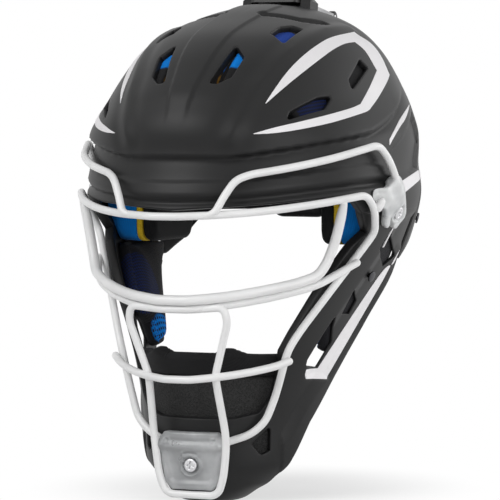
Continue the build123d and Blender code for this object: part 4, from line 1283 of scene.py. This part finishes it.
# hard surfaces: noises as scale and detail, the share of the grain in the tone, the tone's limits,
# the swing of the roughness, and the bump's strength and height in metres
looks = {
    "moulded": {"cloud": (14.0, 3.0), "grain": (2600.0, 2.0), "share": 0.3, "band": (0.35, 0.65),
                "swing": 0.12, "bump": (0.35, 0.00004)},
    "enamel": {"cloud": (40.0, 2.0), "grain": (340.0, 2.0), "share": 0, "band": (0.3, 0.7),
               "swing": 0.1, "bump": (0.25, 0.00012)},
    "frosted": {"cloud": (55.0, 3.0), "grain": (1500.0, 2.0), "share": 0, "band": (0.35, 0.65),
                "swing": 0.2, "bump": (0.2, 0.00005)},
    "steel": {"cloud": (900.0, 3.0), "grain": (900.0, 3.0), "share": 0, "band": (0.3, 0.7),
              "swing": 0.2, "bump": (0.2, 0.00003)},
}
# painted shadow of the guide on the ladder: the tone goes dark in front of a place along y
guideShadowPaint = {"from": 0.05, "to": 0.046, "tone": (0.006, 0.006, 0.006)}


def hard(name, kind, dark, light, rough, shaded=False, **fixed):
    # tone and roughness follow a cloudy noise and the bump a finer grain; a piece under the
    # guide is smooth instead, and carries a painted shadow of the guide: dark in front of a place
    # along y
    made, coords, link, bump = finish(name, **fixed)
    look = looks[kind]
    cloud, grain = coords.noise(*look["cloud"]), coords.noise(*look["grain"])
    tone = cloud * (1 - look["share"]) + grain * look["share"] if look["share"] else cloud
    colour = tone.band(*look["band"]).mixed(dark, light)
    # painted shadow of the guide: darkens the tone in front of a place along y
    if shaded:
        paintedShadowMask = coords.axes()[1].band(guideShadowPaint["from"], guideShadowPaint["to"])
        colour = paintedShadowMask.mixed(colour, guideShadowPaint["tone"])
    else:
        bump(grain, *look["bump"])
    link("Base Color", colour)
    link("Roughness", cloud * look["swing"] + rough)
    return made


knit = {"row": 5200.0, "column": 4300.0, "soft": 0.0008, "step": 0.06, "rough": (0.1, 0.78),
        "spots": ((2400.0, 900.0), (1900.0, 1500.0)), "bump": (0.5, 0.0003)}


def knitFabric(name, base, lift, patches=(), sheen=0.03):
    # knitted cover: two crossed rows of ribs a millimetre apart, with patches of colour inside
    # balls round given centres, the same on both sides
    made, coords, link, bump = finish(name, Sheen_Weight=sheen, Sheen_Roughness=0.5,
                                      Specular_IOR_Level=0.2)
    x, y, z = coords.axes()
    rib = ((y + z) * knit["row"]).sine() * ((x + z - y) * knit["column"]).sine() * 0.5 + 0.5
    # painted shade: the tone follows the rib height, darker in the grooves between the ribs
    colour = rib.mixed(base, lift)
    folded = coords.node("ShaderNodeVectorMath", {"operation": "ABSOLUTE"}, {0: coords})
    (a, b), (c, d) = knit["spots"]
    for centre, size, tone, limit in patches:
        away = folded.node("ShaderNodeVectorMath", {"operation": "DISTANCE"},
                           {0: folded, 1: tuple(k / 1000 for k in centre)}, out=1)
        spots = (x * a + y * b).sine() * (y * c + z * d).sine()
        inside = away.band(size / 1000 + knit["soft"], size / 1000 - knit["soft"])
        shown = inside * spots.band(limit - knit["step"], limit + knit["step"])
        colour = shown.mixed(colour, tone)
    link("Base Color", colour)
    swing, rough = knit["rough"]
    link("Roughness", rib * swing + rough)
    bump(rib, *knit["bump"])
    return made


foam = {"fine": (1.7, 3.0, 0.6), "cells": 0.7, "grain": 0.5, "band": (0.25, 0.8), "bump": 0.8}


def openFoam(name, base, lift, cell, depth):
    # cut foam: rounded cells, with painted shade in their pits
    made, coords, link, bump = finish(name, Roughness=0.9)
    cells = coords.node("ShaderNodeTexVoronoi", {}, {"Vector": coords, "Scale": cell})
    scale, detail, roughness = foam["fine"]
    fine = coords.noise(cell * scale, detail, roughness)
    height = cells * foam["cells"] + fine * foam["grain"]
    # painted shade: the tone follows the bump's height, darker down in the pits
    link("Base Color", height.band(*foam["band"]).mixed(base, lift))
    bump(height, foam["bump"], depth)
    return made


weave = {"rib": (3600.0, 0.6), "pick": (5200.0, 0.4), "band": (-0.8, 0.9), "rough": (0.05, 0.8),
         "bump": (0.5, 0.0002)}


def webbing(name, base, lift):
    # flat weave: ribs along the strap crossed by finer picks, two sines with their shares
    made, coords, link, bump = finish(name, Sheen_Weight=0.3)
    x, y, z = coords.axes()
    (rib, ribShare), (pick, pickShare) = weave["rib"], weave["pick"]
    height = (z * rib).sine() * ribShare + (y * pick).sine() * pickShare
    # painted shade: the tone follows the weave height, darker between the ribs and picks
    link("Base Color", height.band(*weave["band"]).mixed(base, lift))
    swing, rough = weave["rough"]
    link("Roughness", height * swing + rough)
    bump(height, *weave["bump"])
    return made


# colours that show on the covers: centre in millimetres, size, tone and how much of it shows
navy, azure, amber = (0.004, 0.014, 0.085), (0.0, 0.22, 0.75), (0.3, 0.15, 0.01)
padPatches = [((52, 42, 146), 30, navy, 0.0), ((42, 30, 108), 19, azure, -0.2),
              ((44, 36, 134), 9, azure, 0.3)]
liningPatches = [((23, 72, 281), 11, azure, -2), ((19, 84, 269), 8, amber, -2),
                 ((36, 37, 297), 13, (0.01, 0.05, 0.3), -2), ((72, 50, 254), 26, navy, 0.0)]
finishes = {
    "shell_charcoal": hard("shellCharcoal", "moulded", (0.01, 0.01, 0.0103),
                           (0.0135, 0.0135, 0.0139), 0.4, Specular_IOR_Level=0.22),
    "guide_black": hard("guideBlack", "moulded", (0.004, 0.004, 0.0045), (0.008, 0.008, 0.008),
                        0.34, Specular_IOR_Level=0.25),
    "paintWhite": hard("paintWhite", "moulded", (0.8, 0.785, 0.8), (0.85, 0.835, 0.85), 0.44),
    "cage_white": hard("cageWhite", "enamel", (0.8, 0.8, 0.8), (0.86, 0.86, 0.86), 0.36,
                       Coat_Weight=0.15, Coat_Roughness=0.2),
    "clip_frosted": hard("clipFrosted", "frosted", (0.66, 0.67, 0.68), (0.88, 0.89, 0.89), 0.22,
                         Transmission_Weight=0.25, IOR=1.46),
    # the ladder under the guide carries a painted shadow
    "ladderClear": hard("ladderClear", "frosted", (0.45, 0.45, 0.46), (0.62, 0.62, 0.63), 0.3,
                        shaded=True, Transmission_Weight=0.2, IOR=1.46),
    "clipClear": hard("clipClear", "frosted", (0.52, 0.53, 0.54), (0.74, 0.75, 0.76), 0.22,
                      Transmission_Weight=0.5, IOR=1.46),
    "screw_black": hard("rivetSteel", "steel", (0.06, 0.06, 0.065), (0.075, 0.075, 0.08125), 0.32,
                        Metallic=1.0),
    "nut_steel": hard("nutSteel", "steel", (0.55, 0.55, 0.56), (0.6875, 0.6875, 0.7), 0.25,
                      Metallic=1.0),
    "pad_black": knitFabric("padBlack", (0.004, 0.004, 0.0045), (0.013, 0.013, 0.014)),
    "foam_grey": openFoam("foamGrey", (0.001, 0.001, 0.001), (0.02, 0.02, 0.02), 900.0, 0.0012),
    "foam_blue": knitFabric("foamBlue", (0.0, 0.16, 0.58), (0.0, 0.23, 0.72), sheen=0.05),
    "foam_yellow": openFoam("foamYellow", (0.6, 0.38, 0.01), (0.8, 0.55, 0.02), 1400.0, 0.0002),
    "strap_black": webbing("strapBlack", (0.008, 0.008, 0.008), (0.03, 0.03, 0.032)),
    "padPatterned": knitFabric("padPatterned", (0.004, 0.004, 0.0055), (0.014, 0.014, 0.017),
                               padPatches),
    "liningPatterned": knitFabric("liningPatterned", (0.003, 0.003, 0.0035),
                                  (0.012, 0.012, 0.013), liningPatches),
}
print("stage: finishes")

# Every piece: the node it stands for, its body, its slot and its finish
bodyOf = {node: body for body, members in frame["record"]["behaviour"]["bodies"].items()
          for node in members}


def dress(piece, slot, look=None, node=None):
    # the finish, replaced node, body and colour slot of one piece; the slot names the finish
    piece.data.materials.append(finishes[look or slot])
    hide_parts(node)
    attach(piece, bodyOf[node])


for piece in (domeShell, jawShell):
    dress(piece, "shell_charcoal", node="front_shell")
for piece in [rearPlate] + plateLugs:
    dress(piece, "shell_charcoal", node="back_plate")
for node, pieces in wires.items():
    for piece in pieces:
        dress(piece, "cage_white", node=node)
for node, piece in clips.items():
    dress(piece, "clip_frosted", "clipClear" if node == "chin_clip" else None, node=node)
for node, piece in fasteners.items():
    dress(piece, "nut_steel" if node == "clip_screws" else "screw_black", node=node)
padSlots = {"chin_foam": "foam_grey", "ear_foam": "foam_blue", "ear_band": "foam_yellow"}
padLooks = {"jaw_pad": "padPatterned", "crown_pad": "liningPatterned",
            "crown_pad_middle": "liningPatterned", "temple_pad": "liningPatterned"}
for node, piece in pads.items():
    kind = node.replace("_left", "").replace("_right", "")
    dress(piece, padSlots.get(kind, "pad_black"), padLooks.get(kind), node=node)
for node, piece in straps.items():
    piece.data.materials.append(finishes["strap_black"])
    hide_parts(node)
    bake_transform(piece)
for rider, pieces in paintWork.items():
    for piece in pieces:
        piece.data.materials.append(finishes["paintWhite"])
        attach(piece, rider)
cadLooks = {"crown_guide": "guide_black", "crown_ladder": "ladderClear",
            "clip_nuts": "nut_steel", "hinge_pin": "nut_steel"}
for node, look in cadLooks.items():
    for slot in frame["nodes"][node].material_slots:
        slot.material = finishes[look]
print("stage: pieces dressed")

# Floor, lights and camera
white = (1.0, 1.0, 1.0)
stage = {"floor": 12.0, "tone": (0.9, 0.9, 0.9), "fade": (0.04, 0.16), "fadeShare": 0.4,
         "world": 0.24}
lamps = {
    "keyLamp": {"at": (-0.9, -1.75, 1.6), "aim": (0, 0, 0.17), "size": (1.2, 1.0), "power": 27.0},
    "fillLamp": {"at": (1.9, -1.1, 0.6), "aim": (0, 0, 0.17), "size": (1.2, 1.5), "power": 19.0},
    "backLamp": {"at": (1.5, 1.2, 0.7), "aim": (0, 0, 0.2), "size": (1.2, 1.4), "power": 14.0},
}


def lensRays(seed):
    # 1 for camera, glossy and transmission rays, 0 for the others
    camera, glossy, through = [seed.node("ShaderNodeLightPath", out=k) for k in (0, 3, 6)]
    return (camera + glossy + through).band(0, 1)


def paleGround():
    # plain pale floor: keeps the shadow close by, fades to plain white for what the lens sees
    made = bpy.data.materials.new("paleFloor")
    made.use_nodes = True
    tree = made.node_tree
    tree.nodes.clear()
    seed = Value(tree, None)
    coords = seed.node("ShaderNodeTexCoord", out=3)
    away = coords.node("ShaderNodeVectorMath", {"operation": "LENGTH"}, {0: coords}, out=1)
    share = away.band(*stage["fade"]) * stage["fadeShare"] + (1 - stage["fadeShare"])
    matt = seed.node("ShaderNodeBsdfDiffuse", {}, {"Color": stage["tone"]})
    glow = seed.node("ShaderNodeEmission", {}, {"Color": white, "Strength": 1.0})
    whole = seed.node("ShaderNodeMixShader", {}, {0: lensRays(seed) * share, 1: matt, 2: glow})
    out = tree.nodes.new("ShaderNodeOutputMaterial")
    tree.links.new(whole.socket, out.inputs[0])
    return made


half = stage["floor"] / 2
corners = np.array([(-half, -half, 0), (half, -half, 0), (half, half, 0), (-half, half, 0)])
floor = addMesh("floor", corners, [np.array([[0, 1, 2, 3]])], scale=1)
floor.data.materials.append(paleGround())

world = bpy.data.worlds.new("plainWorld")
bpy.context.scene.world = world
world.use_nodes = True
world.node_tree.nodes.clear()
sky = Value(world.node_tree, None)
lit, plain = [sky.node("ShaderNodeBackground", {}, {"Color": white, "Strength": strength})
              for strength in (stage["world"], 1.0)]
both = sky.node("ShaderNodeMixShader", {}, {0: lensRays(sky), 1: lit, 2: plain})
worldOut = world.node_tree.nodes.new("ShaderNodeOutputWorld")
world.node_tree.links.new(both.socket, worldOut.inputs[0])

for name, spec in lamps.items():
    data = bpy.data.lights.new(name, "AREA")
    data.shape, data.energy = "RECTANGLE", spec["power"]
    data.size, data.size_y = spec["size"]
    light = bpy.data.objects.new(name, data)
    bpy.context.scene.collection.objects.link(light)
    light.location = spec["at"]
    light.rotation_euler = (mathutils.Vector(spec["aim"]) - mathutils.Vector(
        spec["at"])).to_track_quat("-Z", "Y").to_euler()

lens = bpy.data.cameras.new("camera")
camera = bpy.data.objects.new("camera", lens)
bpy.context.scene.collection.objects.link(camera)
view = {"aim": (0, -0.005755, 0.16003), "away": (0.422, -0.9051, 0.0523), "distance": 2.429,
        "roll": -0.21, "lens": 262.3}
back = mathutils.Vector(view["away"]).normalized()
camera.location = mathutils.Vector(view["aim"]) + back * view["distance"]
turnBack = back.to_track_quat("Z", "Y").to_matrix()
camera.rotation_euler = (turnBack @ mathutils.Matrix.Rotation(
    math.radians(view["roll"]), 3, "Z")).to_euler()
lens.lens, lens.sensor_width = view["lens"], 36.0
lens.clip_start, lens.clip_end = 0.05, 50.0
lens.dof.use_dof = False
bpy.context.scene.camera = camera
bpy.context.scene.view_settings.view_transform = "Standard"

print("stage: camera and sizes")
